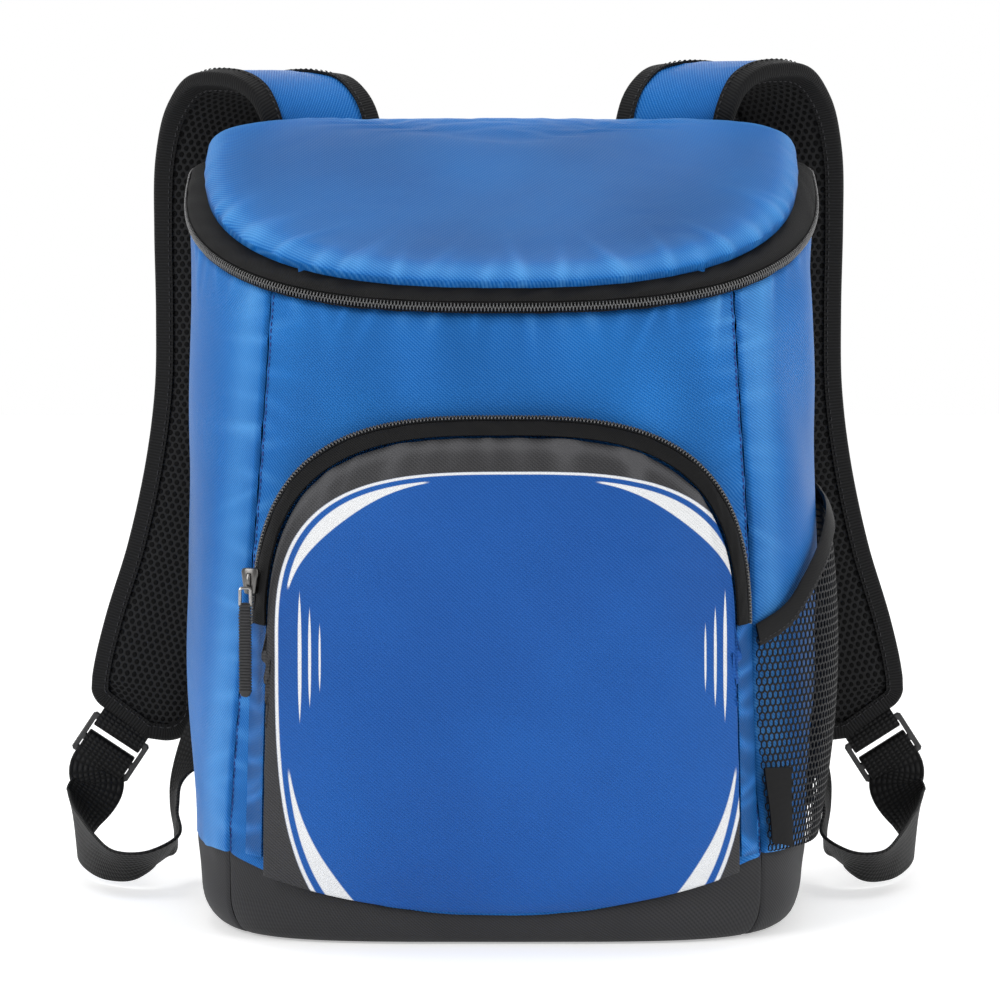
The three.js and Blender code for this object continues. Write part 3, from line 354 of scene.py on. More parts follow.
def sheet_piece(name, outside, thickness, closed=False, inside=None, uvs=None, painted_light=None):
    """A closed sheet of cloth or padding between a grid of points and the same grid moved in."""
    rows, columns = outside.shape[0] - 1, outside.shape[1] - 1
    if inside is None:
        inside = outside - facing(outside) * thickness
    if uvs is None:
        along, up = travelled(outside, 1), travelled(outside, 0)
        row_middle = along - along[:, columns // 2:columns // 2 + 1]
        uvs = np.stack([row_middle, np.broadcast_to(up[:, columns // 2:columns // 2 + 1], along.shape)], -1)
    if closed:
        outside, inside, uvs = outside[:, :-1], inside[:, :-1], uvs[:, :-1]
    count = outside.shape[1]
    index = np.arange((rows + 1) * count).reshape(rows + 1, count)
    nxt = np.roll(index, -1, axis=1) if closed else index[:, 1:]
    here = index if closed else index[:, :-1]
    front = np.stack([here[:-1], nxt[:-1], nxt[1:], here[1:]], -1).reshape(-1, 4)
    shift = index.size
    back = front[:, ::-1] + shift
    rims = []
    for low in (0, rows):
        a, b = here[low], nxt[low]
        rim = np.stack([b, a, a + shift, b + shift], -1)
        rims.append(rim if low == 0 else rim[:, ::-1])
    if not closed:
        for side in (0, columns):
            a, b = index[:-1, side], index[1:, side]
            rim = np.stack([a, b, b + shift, a + shift], -1)
            rims.append(rim if side == 0 else rim[:, ::-1])
    faces = np.concatenate([front, back, *rims]).tolist()
    piece = new_piece(name, np.concatenate([outside.reshape(-1, 3), inside.reshape(-1, 3)]), faces,
                      np.concatenate([uvs.reshape(-1, 2)] * 2))
    # The outside points carry the painted-light values: painted highlight where positive, painted shade where
    # negative. The inside points carry none.
    if painted_light is not None:
        values = np.concatenate([painted_light.ravel(), np.zeros(painted_light.size)])
        piece.data.attributes.new("painted_light", "FLOAT", "POINT").data.foreach_set("value", values)
    return piece


def dress(piece, material, slot, *nodes):
    """Gives a piece its material and its place in the frame."""
    if not piece.data.materials:
        piece.data.materials.append(material)
    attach(piece, "root")
    if nodes:
        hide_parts(*nodes)
    return piece


def tuck(away, depth, width):
    """How far cloth rolls in towards a seam, at a distance from it."""
    return depth * (1 - np.sqrt(1 - np.clip(1 - away / width, 0, 1) ** 2))


def puckers(along, away, seed, spacing, reach, depth, where=None):
    """Small gathers square to a seam: a distance along it and a distance from it."""
    chance = np.random.default_rng(seed)
    total = np.zeros(np.shape(along))
    for centre in np.arange(along.min(), along.max(), spacing):
        centre += chance.uniform(-0.4, 0.4) * spacing
        width = spacing * chance.uniform(0.16, 0.32)
        length = reach * chance.uniform(0.5, 1.5)
        size = depth * chance.uniform(0.25, 1.0)
        lean = chance.uniform(-0.45, 0.45)
        ridge = np.exp(-(((along - centre - lean * away) / width) ** 2))
        total += size * ridge * np.exp(-((away / length) ** 1.3))
    return total if where is None else total * where


def waves(x, y, seed, pitch, depth, count=9):
    """Broad soft undulation of padded cloth."""
    chance = np.random.default_rng(seed)
    total = np.zeros(np.shape(x))
    for _ in range(count):
        angle, phase = chance.uniform(0, math.tau), chance.uniform(0, math.tau)
        size = chance.uniform(0.6, 1.6) / pitch
        total += np.cos(math.tau * size * (x * math.cos(angle) + y * math.sin(angle)) + phase)
    return depth * total / math.sqrt(count)


def pushed(points, amount):
    return points + facing(points) * amount[..., None]


def edge_distances(points):
    """Distances from the left, right, lower and upper edges of a grid of points."""
    along, up = travelled(points, 1), travelled(points, 0)
    return along, along[:, -1:] - along, up, up[-1:] - up


def twill(u, v, pitch):
    """The fine diagonal ribs of a twill, from 0 to 1, broken by its crossing threads."""
    rib = ((u + v * 1.15) * (math.tau / pitch)).sine()
    thread = ((u - v * 0.9) * (math.tau / (pitch * 0.86))).sine()
    return 0.5 + rib * 0.3 + thread * rib * 0.2


def blue_cloth(name, base, light, dark, pitch=0.0020):
    finish = Finish(name, IOR=1.24, Specular_Tint=(0.3, 0.6, 1.0, 1.0))
    u, v = finish.uv()
    weave = twill(u, v, pitch)
    cloud = finish.noise(9.0, 3.0, 0.55)
    tone = finish.blend(cloud.ramp(0.35, 0.7), dark, base)
    painted_light = finish.painted_light()
    # The light colour serves both the weave and a painted highlight: it is mixed in more where the painted-light value
    # is above 0.
    colour = finish.blend((weave * 0.62 - 0.12 + painted_light.most(0.0) * 0.5).least(1.0).most(0.0), tone, light)
    # Painted shade: where the painted-light value is below 0, the colour is darkened towards a deep blue.
    painted_shade_colour = (*[c * 0.35 for c in dark[:3]], 1)
    colour = finish.blend(((-painted_light) * 0.75).least(0.9).most(0.0), colour, painted_shade_colour)
    roughness = 0.42 + cloud * 0.1 - weave * 0.08
    return finish.finish(colour, roughness, weave, 0.0003, 0.9)


blue_twill = blue_cloth("blue_twill", (0.004, 0.112, 0.40, 1), (0.085, 0.30, 0.66, 1), (0.002, 0.082, 0.33, 1))

seam_angle = 2.4 * seam_gap / body_width


def right_front_edge(height): return front_seam("right", height) - seam_angle
def left_front_edge(height): return seam_angle - front_seam("left", height)


def sewn_panel(points, seed, rolls, folds, soft, seam_highlight_shares):
    """A panel's outside with its edges rolled in, its seams gathered and its padding uneven, and its painted light:
    painted highlight on the gathers' crests, in streaks beside the seams and in a broad sheen, and painted shade in
    creases along the edges.
    """
    left, right, low, high = edge_distances(points)
    amount = waves(points[..., 0] + points[..., 1], points[..., 2], seed, 0.11, soft)
    reach = np.minimum(np.minimum(left, right), np.minimum(low, high))
    amount *= smooth(reach / 0.03)
    for away, roll in zip((left, right, low, high), rolls):
        amount -= tuck(away, roll, roll * 2.2)
    folded = np.zeros_like(amount)
    for k, (away, along, (spacing, length, depth)) in enumerate(
            zip((left, right, low, high), (points[..., 2], points[..., 2], left, left), folds)):
        if depth:
            gathers = puckers(along, away, seed + 7 * k, spacing, length, depth)
            folded += gathers / depth
            amount += gathers
    # Painted highlight in streaks beside the left and right seams, painted shade in narrow creases along the seams and
    # the top, and a broad painted sheen. The whole panel is painted a little darker.
    seam_highlights = sum(np.exp(-(((away - 0.013) / 0.011) ** 2)) * share for away, share in zip((left, right), seam_highlight_shares))
    crease_shade = sum(np.exp(-((away / 0.0022) ** 2)) for away in (left, right, high))
    painted_sheen = waves(points[..., 0] * 1.6, points[..., 2] * 0.5, seed + 3, 0.09, 0.16)
    return pushed(points, amount), 0.9 * folded + seam_highlights - 0.8 * crease_shade + painted_sheen - 0.14


front_points, front_painted_light = sewn_panel(
    wall(left_front_edge, right_front_edge, 150, 150), 3,
    (0.0016, 0.0016, 0.001, 0.0018),
    ((0.013, 0.010, 0.0008), (0.012, 0.011, 0.0009), (0, 0, 0), (0.014, 0.011, 0.0017)), 0.0013,
    (0.1, 0.1))
dress(sheet_piece("front_cloth", front_points, wall_cloth, painted_light=front_painted_light), blue_twill, "blue_twill",
      "front_panel")

# The side panels: the same cloth, wrapped round the corners from the front seams to the back
# seams, with the foam's soft roll along the seams.


def right_of_front(height): return front_seam("right", height) + seam_angle
def left_of_front(height): return -front_seam("left", height) - seam_angle
def right_back_edge(height=0.0): return back_seam - seam_angle
def left_back_edge(height=0.0): return seam_angle - back_seam


side_folds = ((0.013, 0.013, 0.0010), (0.02, 0.012, 0.0008), (0.02, 0.01, 0.0008), (0.014, 0.013, 0.0016))
# The last entry of each row is the share of painted highlight beside each seam.
for name, from_turn, to_turn, seed, rolls, folds, seam_highlight_shares in (
        ("right", right_of_front, right_back_edge, 11, (0.0016, 0.0014, 0.001, 0.0016), side_folds, (0.75, 0.1)),
        ("left", left_back_edge, left_of_front, 17, (0.0014, 0.0016, 0.001, 0.0016),
         side_folds[1::-1] + side_folds[2:], (0.1, 0.75))):
    points, painted_light = sewn_panel(wall(from_turn, to_turn, 120, 130), seed, rolls, folds, 0.001, seam_highlight_shares)
    dress(sheet_piece("side_cloth_" + name, points, wall_cloth, painted_light=painted_light), blue_twill, "blue_twill",
          "side_panel_" + name)

# The base band and floor: charcoal coated twill, sewn to the walls and turned under the body in
# a soft round on to a flat floor panel.
band_thickness = 0.003


def band(from_turn, to_turn, columns, rows):
    u, v = grid(columns, rows)
    top = band_top(mix(from_turn(band_height_side), to_turn(band_height_side), u))
    round_share = np.arccos(np.maximum(1 - top / base_round_height, 0)) / (math.pi / 2)
    straight = np.maximum(top - base_round_height, 0) / base_round_height
    along = v * (round_share + straight)
    height = np.where(along < 1, base_round_height * (1 - np.cos(along * math.pi / 2)), base_round_height * along)
    return plan_point(mix(from_turn(height), to_turn(height), u), height)


def charcoal_cloth(name, tone, pitch=0.0020):
    finish = Finish(name, Specular_IOR_Level=0.15)
    u, v = finish.uv()
    weave = twill(u, v, pitch)
    cloud = finish.noise(14.0, 3.0, 0.6)
    dark, light = [(tone * k, tone * k, tone * k * 1.06, 1) for k in (0.45, 1.8)]
    colour = finish.blend(weave * 0.55 + cloud * 0.35, dark, light)
    return finish.finish(colour, 0.5 + cloud * 0.16, weave, 0.00016, 0.6)


charcoal_twill = charcoal_cloth("charcoal_twill", 0.027)


back_band_gap = 14 * seam_angle


def back_right_edge(height=0.0): return back_seam + back_band_gap
def back_left_edge(height=0.0): return 2 * math.pi - back_seam - back_band_gap


for name, low_edge, high_edge, columns, seed in (
        ("front", left_front_edge, right_front_edge, 140, 23), ("right", right_of_front, right_back_edge, 100, 29),
        ("left", left_back_edge, left_of_front, 100, 31), ("back", back_right_edge, back_left_edge, 80, 37)):
    points = band(low_edge, high_edge, columns, 22)
    left, right, low, high = edge_distances(points)
    amount = waves(left, low, seed, 0.06, 0.0005) * smooth(high / 0.01) * smooth(low / 0.02)
    amount -= tuck(high, 0.0009, 0.003) + tuck(left, 0.0009, 0.0025) + tuck(right, 0.0009, 0.0025)
    amount += puckers(left, high, seed, 0.022, 0.008, 0.0006)
    cloth = sheet_piece("base_cloth_" + name, pushed(points, amount), band_thickness - 0.0006)
    dress(cloth, charcoal_twill, "charcoal_twill", "base_band_" + name)

u, v = grid(96, 12)
base_floor_thickness = 0.005
rim = plan_point(mix(-math.pi, math.pi, u), 0.0, -4 * seam_gap)
middle = widest_line + (back_reach - front_reach) / 2
under = np.stack([rim[..., 0] * v, mix(middle, rim[..., 1], v), np.zeros_like(v)], -1)
over = under + np.array([0, 0, base_floor_thickness])
floor_cloth = sheet_piece("base_floor_cloth", under, base_floor_thickness, True, over)
dress(floor_cloth, charcoal_twill, "charcoal_twill", "base_floor")

# The stitching of the two front seams: dark blue thread laid in short stitches beside the seam,
# each stitch sunk a little into the cloth.


def laying_tree():
    """Copies of one shape laid along lines, turned with the surface that the lines lie on."""
    tree = bpy.data.node_groups.new("laid_along_lines", "GeometryNodeTree")
    for name, kind, start in (("Lines", "Geometry", None), ("Shape", "Object", None), ("Spacing", "Float", 0.003),
                              ("Unevenness", "Float", 0.0), ("Seed", "Int", 1), ("Finish", "Material", None)):
        socket = tree.interface.new_socket(name, in_out="INPUT", socket_type="NodeSocket" + kind)
        if start is not None:
            socket.default_value = start
    tree.interface.new_socket("Result", in_out="OUTPUT", socket_type="NodeSocketGeometry")
    new, join = tree.nodes.new, tree.links.new
    given, result = new("NodeGroupInput"), new("NodeGroupOutput")
    curve, spaced = new("GeometryNodeMeshToCurve"), new("GeometryNodeResampleCurve")
    spaced.mode = "LENGTH"
    facing_way, tangent = new("GeometryNodeInputNamedAttribute"), new("GeometryNodeInputTangent")
    facing_way.data_type = "FLOAT_VECTOR"
    facing_way.inputs["Name"].default_value = "facing"
    turn = new("FunctionNodeAxesToRotation")
    turn.primary_axis, turn.secondary_axis = "Z", "X"
    shape, laid = new("GeometryNodeObjectInfo"), new("GeometryNodeInstanceOnPoints")
    least, most = new("ShaderNodeMath"), new("ShaderNodeMath")
    least.operation, most.operation = "SUBTRACT", "ADD"
    least.inputs[0].default_value = most.inputs[0].default_value = 1.0
    chance, real = new("FunctionNodeRandomValue"), new("GeometryNodeRealizeInstances")
    painted = new("GeometryNodeSetMaterial")
    join(given.outputs["Lines"], curve.inputs["Mesh"])
    join(curve.outputs[0], spaced.inputs["Curve"])
    join(given.outputs["Spacing"], spaced.inputs["Length"])
    join(facing_way.outputs["Attribute"], turn.inputs[0])
    join(tangent.outputs[0], turn.inputs[1])
    join(given.outputs["Shape"], shape.inputs["Object"])
    join(spaced.outputs[0], laid.inputs["Points"])
    join(shape.outputs["Geometry"], laid.inputs["Instance"])
    join(turn.outputs[0], laid.inputs["Rotation"])
    join(given.outputs["Unevenness"], least.inputs[1])
    join(given.outputs["Unevenness"], most.inputs[1])
    join(least.outputs[0], chance.inputs["Min"])
    join(most.outputs[0], chance.inputs["Max"])
    join(given.outputs["Seed"], chance.inputs["Seed"])
    join(chance.outputs[1], laid.inputs["Scale"])
    join(laid.outputs[0], real.inputs[0])
    join(real.outputs[0], painted.inputs["Geometry"])
    join(given.outputs["Finish"], painted.inputs["Material"])
    join(painted.outputs[0], result.inputs[0])
    return tree


def grown(name, mesh, tree, **values):
    """A piece made by a tree of Geometry Nodes on a mesh, as a plain mesh."""
    start = bpy.data.objects.new(name + "_start", mesh)
    bpy.context.collection.objects.link(start)
    nodes = start.modifiers.new("grow", "NODES")
    nodes.node_group = tree
    sockets = {item.name: item.identifier for item in tree.interface.items_tree if item.in_out == "INPUT"}
    for key, value in values.items():
        nodes[sockets[key]] = value
    bpy.context.view_layer.update()
    evaluated = start.evaluated_get(bpy.context.evaluated_depsgraph_get())
    made = bpy.data.meshes.new_from_object(evaluated)
    made.name = name
    bpy.data.objects.remove(start)
    piece = bpy.data.objects.new(name, made)
    bpy.context.collection.objects.link(piece)
    made.polygons.foreach_set("use_smooth", [True] * len(made.polygons))
    return piece


laying = laying_tree()


def laid_along(name, lines, shape, spacing, finish, unevenness=0.0, seed=1):
    """One piece of many copies of a shape. Each line is a run of places and of facings."""
    places = np.concatenate([np.asarray(spots) for spots, _ in lines])
    ways = np.concatenate([np.broadcast_to(way, np.shape(spots)) for spots, way in lines])
    edges, first = [], 0
    for spots, _ in lines:
        edges += [(i, i + 1) for i in range(first, first + len(spots) - 1)]
        first += len(spots)
    mesh = bpy.data.meshes.new(name + "_line")
    mesh.from_pydata(places.tolist(), edges, [])
    directions = mesh.attributes.new("facing", "FLOAT_VECTOR", "POINT").data
    directions.foreach_set("vector", ways.astype(float).ravel())
    piece = grown(name, mesh, laying, Shape=shape, Spacing=spacing, Unevenness=unevenness, Seed=seed,
                  Finish=finish)
    bpy.data.objects.remove(shape)
    return piece


def ringed(bodies, sides=6, square=2.0):
    """Points and faces of closed bodies through rings: along, offset, lift, half width, half height."""
    points, faces = [], []
    for stations, place in bodies:
        first = len(points)
        for along, across, lift, width, height in stations:
            for k in range(sides):
                c, s = math.cos(math.tau * (k + 0.5) / sides), math.sin(math.tau * (k + 0.5) / sides)
                c, s = [math.copysign(abs(value) ** (2 / square), value) for value in (c, s)]
                points.append(tuple(place @ Vector((along, across + width * c, lift + height * s))))
        for r in range(len(stations) - 1):
            for k in range(sides):
                a, b = first + r * sides + k, first + r * sides + (k + 1) % sides
                faces.append((a, b, b + sides, a + sides))
        last = first + (len(stations) - 1) * sides
        faces += [tuple(range(first, first + sides))[::-1], tuple(range(last, last + sides))]
    return points, faces


def loose_shape(name, bodies, sides=6, square=2.0):
    mesh = bpy.data.meshes.new(name)
    points, faces = ringed(bodies, sides, square)
    mesh.from_pydata(points, [], faces)
    shape = bpy.data.objects.new(name, mesh)
    bpy.context.collection.objects.link(shape)
    return shape


def stitch(length, width, height):
    half = length / 2
    rings = [(half * along, 0, height * lift, width * size, height * size) for along, lift, size in (
        (-1, -0.7, 0.12), (-0.75, -0.1, 0.42), (0, 0.2, 0.5), (0.75, -0.1, 0.42), (1, -0.7, 0.12))]
    return loose_shape("stitch", [(rings, Matrix())])


def thread(name, colour):
    finish = Finish(name, Sheen_Weight=0.05, Specular_IOR_Level=0.3)
    x, y, z = finish.place()
    strand = ((x + z * 1.3 + y) * (math.tau / 0.0007)).sine() * 0.5 + 0.5
    tone = finish.blend(strand, (*[c * 0.6 for c in colour], 1), (*[c * 1.5 for c in colour], 1))
    return finish.finish(tone, 0.55 + strand * 0.1, strand, 0.0001, 0.5)


blue_thread = thread("blue_thread", (0.012, 0.03, 0.17))
black_thread = thread("black_thread", (0.018, 0.018, 0.02))


def line_on(points, column, lift=0.0):
    """A line along one column of a grid, with the way that the grid faces there."""
    way = facing(points)[:, column]
    return points[:, column] + way * lift, way


seam_lines = [line_on(front_points, 2, 0.0001), line_on(front_points, -3, 0.0001)]
front_stitches = laid_along("front_seam_stitches", seam_lines, stitch(0.0026, 0.0007, 0.0006), 0.0034,
                            blue_thread, 0.12, 5)
dress(front_stitches, blue_thread, "blue_twill")

# The lid: a padded oval flap of the same blue cloth, hinged at the back and zipped round. It is
# crowned by its foam, and its cloth is gathered where the zip tape is sewn on.
lid_thickness = 0.007
lid_inset_side, lid_inset_front = 0.0105, 0.010
lid_squareness = 2.5
lid_crown_front, lid_crown_back = 0.006, 0.020
zip_band_height = 0.0128
back_padding = 0.009


def lid_plane(y):
    return wall_plane(y) + zip_band_height


def lid_outline(turn, inset=0.0):
    across, along = np.sin(turn), np.cos(turn)
    half = body_width / 2 - lid_inset_side - inset
    power = 2 / np.where(along >= 0, lid_squareness, back_squareness)
    reach = np.where(along >= 0, front_reach - lid_inset_front, back_reach - back_padding - 2 * seam_gap) - inset
    x = half * np.sign(across) * np.abs(across) ** power
    return np.stack([x, widest_line - reach * np.sign(along) * np.abs(along) ** power], -1)


def lid_grid(rings, inset):
    """Square rings of points, each a smaller copy of the lid's outline, with their shares."""
    turns = np.linspace(-math.pi, math.pi, 4001)
    outline = lid_outline(turns, inset)
    length = arc_length(outline)
    a, b = np.meshgrid(np.arange(-rings, rings + 1), np.arange(-rings, rings + 1))
    ring = np.maximum(np.abs(a), np.abs(b)).astype(float)
    safe = np.maximum(ring, 1)
    spot = np.select([(b == -ring) & (ring > 0), (a == ring) & (ring > 0), (b == ring) & (ring > 0)],
                     [a + safe, 2 * safe + b + safe, 4 * safe - a + safe], 6 * safe - b + safe)
    around = (spot / (8 * safe)) % 1.0
    at = (around + 0.375) % 1.0 * length[-1]
    edge = np.stack([np.interp(at, length, outline[:, k]) for k in (0, 1)], -1)
    share = (ring / rings)[..., None]
    shrink = 1 - (1 - share) ** 1.25
    middle = np.array([0.0, widest_line - 0.02])
    flat = middle + (edge - middle) * shrink
    return flat, share[..., 0], at


def lid_height(flat, share):
    reach = front_reach - lid_inset_front
    rise = smooth((flat[..., 1] - (widest_line - reach)) / (reach + back_reach))
    crown = mix(lid_crown_front, lid_crown_back, rise)
    return lid_plane(flat[..., 1]) + crown * np.sqrt(np.maximum(1 - share**8, 0))


def settled(points, held, loose, growth, pressure, cap, seed):
    """A grid of points after its cloth is let out a little and filled from behind. Held points
    stay where they are, and no point ends further than its loose share of cap from its start."""
    rows, columns = points.shape[:2]
    index = np.arange(rows * columns).reshape(rows, columns)
    faces = np.stack([index[:-1, :-1], index[:-1, 1:], index[1:, 1:], index[1:, :-1]], -1).reshape(-1, 4)
    uneven = np.random.default_rng(seed).uniform(-0.00008, 0.00008, (rows, columns))
    mesh = bpy.data.meshes.new("settling")
    mesh.from_pydata(pushed(points, uneven * ~held).reshape(-1, 3).tolist(), [], faces.tolist())
    piece = bpy.data.objects.new("settling", mesh)
    bpy.context.collection.objects.link(piece)
    piece.vertex_groups.new(name="sewn").add(index[held].tolist(), 1.0, "REPLACE")
    cloth = piece.modifiers.new("cloth", "CLOTH")
    cloth.settings.vertex_group_mass = "sewn"
    cloth.settings.shrink_min = -growth
    cloth.settings.use_pressure = True
    cloth.settings.uniform_pressure_force = pressure
    cloth.settings.effector_weights.gravity = 0.0
    cloth.settings.quality = 6
    cloth.settings.bending_stiffness = 0.3
    cloth.settings.air_damping = 3.0
    cloth.collision_settings.use_collision = False
    last_frame = 16
    cloth.point_cache.frame_end = last_frame
    for frame_number in range(1, last_frame + 1):
        bpy.context.scene.frame_set(frame_number)
    evaluated = piece.evaluated_get(bpy.context.evaluated_depsgraph_get())
    spots = np.empty(rows * columns * 3)
    evaluated.data.vertices.foreach_get("co", spots)
    moved = spots.reshape(points.shape) - points
    length = np.linalg.norm(moved, axis=-1, keepdims=True)
    bpy.data.objects.remove(piece)
    bpy.context.scene.frame_set(1)
    moved = moved * (cap * np.tanh(length / cap) / np.maximum(length, 1e-9)) * loose[..., None]
    for _ in range(2):
        moved[1:-1, 1:-1] = (moved[1:-1, 1:-1] * 2 + moved[:-2, 1:-1] + moved[2:, 1:-1] + moved[1:-1, :-2]
                             + moved[1:-1, 2:]) / 6
    return points + moved


lid_overlap, lid_lift, lid_rings = 0.0042, 0.0018, 60
lid_gather, lid_growth, lid_pressure, lid_cap = 0.0026, 0.006, 2.5, 0.0026
flat, share, lid_along = lid_grid(lid_rings, -lid_overlap)
lid_rest = np.concatenate([flat, lid_height(flat, share)[..., None]], -1)
lid_rest[..., 2] += lid_lift
rim = lid_outline(np.linspace(-math.pi, math.pi, 1200), -lid_overlap)
lid_away = np.min(np.hypot(flat[..., 0:1] - rim[:, 0], flat[..., 1:2] - rim[:, 1]), axis=-1)
front_share = smooth((0.02 - flat[..., 1]) / 0.06)
lid_folds = puckers(lid_along, lid_away, 41, 0.016, 0.011, lid_gather) * mix(0.25, 1.2, front_share)
lid_amount = lid_folds - tuck(lid_away, 0.003, 0.007)
# Painted light on the lid. Painted highlight falls on the gathers' crests and along the rolled front edge, and the lid
# is lighter towards the back. Painted shade falls over the middle and in a dark line at the zip seam. A broad painted
# sheen lies over all.
lid_painted_light = 1.1 * lid_folds / lid_gather + 0.6 * np.exp(-(((lid_away - 0.006) / 0.005) ** 2))
lid_painted_light += 0.3 * smooth((flat[..., 1] - 0.03) / 0.05) - 0.42 * smooth(lid_away / 0.03)
lid_painted_light -= np.exp(-((lid_away / 0.0016) ** 2))
lid_painted_light += waves(flat[..., 0], flat[..., 1] * 0.6, 49, 0.1, 0.1)
lid_amount += waves(flat[..., 0], flat[..., 1], 43, 0.12, 0.0008) * smooth(lid_away / 0.04)
lid_amount[share > 0.999] = -0.003
lid_settled = settled(lid_rest, share > 0.98, smooth(lid_away / 0.012), lid_growth, lid_pressure, lid_cap, 47)
lid_points = pushed(lid_settled, lid_amount)
lid_inside, inside_share, _ = lid_grid(lid_rings, lid_thickness)
lid_inside = np.concatenate([lid_inside, lid_height(lid_inside, inside_share)[..., None] - lid_thickness], -1)
lid_uvs = np.stack([flat[..., 0], flat[..., 1] / math.cos(lid_slope)], -1)
lid = sheet_piece("lid_cloth", lid_points, lid_thickness, False, lid_inside, lid_uvs, lid_painted_light)
dress(lid, blue_twill, "blue_twill", "lid_panel")

# The lid's zip: two charcoal tapes with a black nylon coil between them, standing out as a ridge
# round the top from one end on the back, round the front, to the other.
zip_tape, zip_chain_thickness = 0.0016, 0.0024
zip_ridge_front, zip_ridge_side = 0.0075, 0.0025
zip_end = turn_at_back(0.8)
tooth_pitch = 0.00175
lid_zip_section = np.array([(0.0, 0.1, 0.05), (0.25, 0.8, 0.14), (0.4, 1.0, 0.28), (0.62, 1.0, 0.62),
                            (0.72, 0.82, 0.78), (1.0, 0.0, 1.0)])


def lid_zip_point(turn, place):
    turn, place = np.broadcast_arrays(np.asarray(turn, float), np.asarray(place, float))
    top = wall_top(turn)
    proud = mix(zip_ridge_side, zip_ridge_front, np.maximum(np.cos(turn), 0) ** 2)
    foot, ridge = plan_point(turn, top), plan_point(turn, top, proud)
    out = read(lid_zip_section, 1, place)[..., None]
    inner = np.where((place < 0.5)[..., None], foot[..., :2], lid_outline(turn, -seam_gap))
    spot = mix(inner, ridge[..., :2], out)
    rise = seam_gap + (zip_band_height - 2 * seam_gap) * read(lid_zip_section, 2, place)
    return np.concatenate([spot, (wall_plane(spot[..., 1]) + rise)[..., None]], -1)


def tape_cloth(name, tone):
    """A woven zip tape: fine diagonal ribs along its length."""
    finish = Finish(name, Specular_IOR_Level=0.1)
    u, v = finish.uv()
    rib = ((u * 1.2 + v) * (math.tau / 0.0013)).sine() * 0.5 + 0.5
    dark, light = (tone * 0.45, tone * 0.45, tone * 0.47, 1), (tone * 1.5, tone * 1.5, tone * 1.56, 1)
    return finish.finish(finish.blend(rib, dark, light), 0.55 + rib * 0.1, rib, 0.0002, 0.7)


zip_tape_cloth = tape_cloth("zip_tape", 0.0085)
coil_finish = Finish("zip_coil", Specular_IOR_Level=0.9, Coat_Weight=0.5, Coat_Roughness=0.12)
coil_grain = coil_finish.noise(900.0)
coil_nylon = coil_finish.finish(coil_finish.blend(coil_grain, (0.02, 0.02, 0.021, 1), (0.06, 0.06, 0.062, 1)),
                                0.2 + coil_grain * 0.1)


def coil_turns(width):
    """One pitch of a coil zip: a nylon turn from each side, hooked past each other."""
    bodies = []
    for side, shift in ((1, -0.25), (-1, 0.25)):
        reach = width / 2
        rings = [(reach, 0, -0.0006, 0.0002, 0.0002), (reach * 0.93, 0, 0.0001, 0.00042, 0.0005),
                 (reach * 0.45, 0, 0.0003, 0.00042, 0.00056), (0.0, 0, 0.00042, 0.0005, 0.0006),
                 (-reach * 0.2, 0, -0.0002, 0.0004, 0.0004)]
        turn = Matrix.Rotation(math.pi / 2 * side, 4, "Z")
        bodies.append((rings[::-1], Matrix.Translation((shift * tooth_pitch, 0, 0)) @ turn))
    return loose_shape("coil_turns", bodies)


u, v = grid(420, 6)
lid_zip_turn = mix(-zip_end, zip_end, u)
for name, low_edge, high_edge, seed in (("lower", 0, 0.37, 51), ("upper", 0.65, 1, 53)):
    tape_points = lid_zip_point(lid_zip_turn, mix(low_edge, high_edge, v))
    ripple = waves(travelled(tape_points, 1), travelled(tape_points, 0), seed, 0.025, 0.00022)
    dress(sheet_piece("lid_zip_" + name, pushed(tape_points, ripple), zip_tape), zip_tape_cloth, "zip_tape",
          "lid_zip_tape_" + name)
chain_points = lid_zip_point(lid_zip_turn, mix(0.38, 0.64, v))
chain_sink = 0.0005
chain_base = sheet_piece("lid_zip_chain_tape", pushed(chain_points, np.full(u.shape, -chain_sink)),
                         zip_chain_thickness - chain_sink)
dress(chain_base, zip_tape_cloth, "zip_coil", "lid_zip_chain")
lid_coil = laid_along("lid_zip_coil", [(chain_points[3], facing(chain_points)[3])], coil_turns(0.0042), tooth_pitch,
                      coil_nylon, 0.02, 57)
dress(lid_coil, coil_nylon, "zip_coil")

# The front pocket: a flat blue panel with a charcoal border, from the base seam to its arch. Its
# artwork is printed on the cloth, and the cloth is gathered along the zip.
pocket_centre, pocket_inset = 0.150, 0.0485
pocket_half = body_width / 2 - pocket_inset
pocket_arch, pocket_squareness = 0.1065, 3.0
pocket_zip_half, pocket_zip_arch = pocket_half + 0.006, pocket_arch + 0.0078
pocket_zip_foot = 0.163
pocket_depth, pocket_puff, pocket_splay, pocket_thickness = 0.020, 0.004, 0.005, 0.003
pocket_depths = np.array([(0.05, 0.2), (0.14, 0.62), (0.3, 1.0), (0.55, 0.95), (0.85, 0.6)])


def front_face(x, height, proud=0.0):
    rounding = base_rounding(height)
    half = body_width / 2 * section("half", height) - base_round_side * rounding
    reach = front_reach * section("reach", height) - base_round_front * rounding
    square = section("square", height)
    depth = reach * np.maximum(1 - np.abs(x / half) ** square, 0) ** (1 / square)
    return np.stack([x, widest_line - depth - proud, height + 0.0 * x], -1)


def pocket_edge_depth(height):
    return pocket_depth * read(pocket_depths, 1, height / front_height)


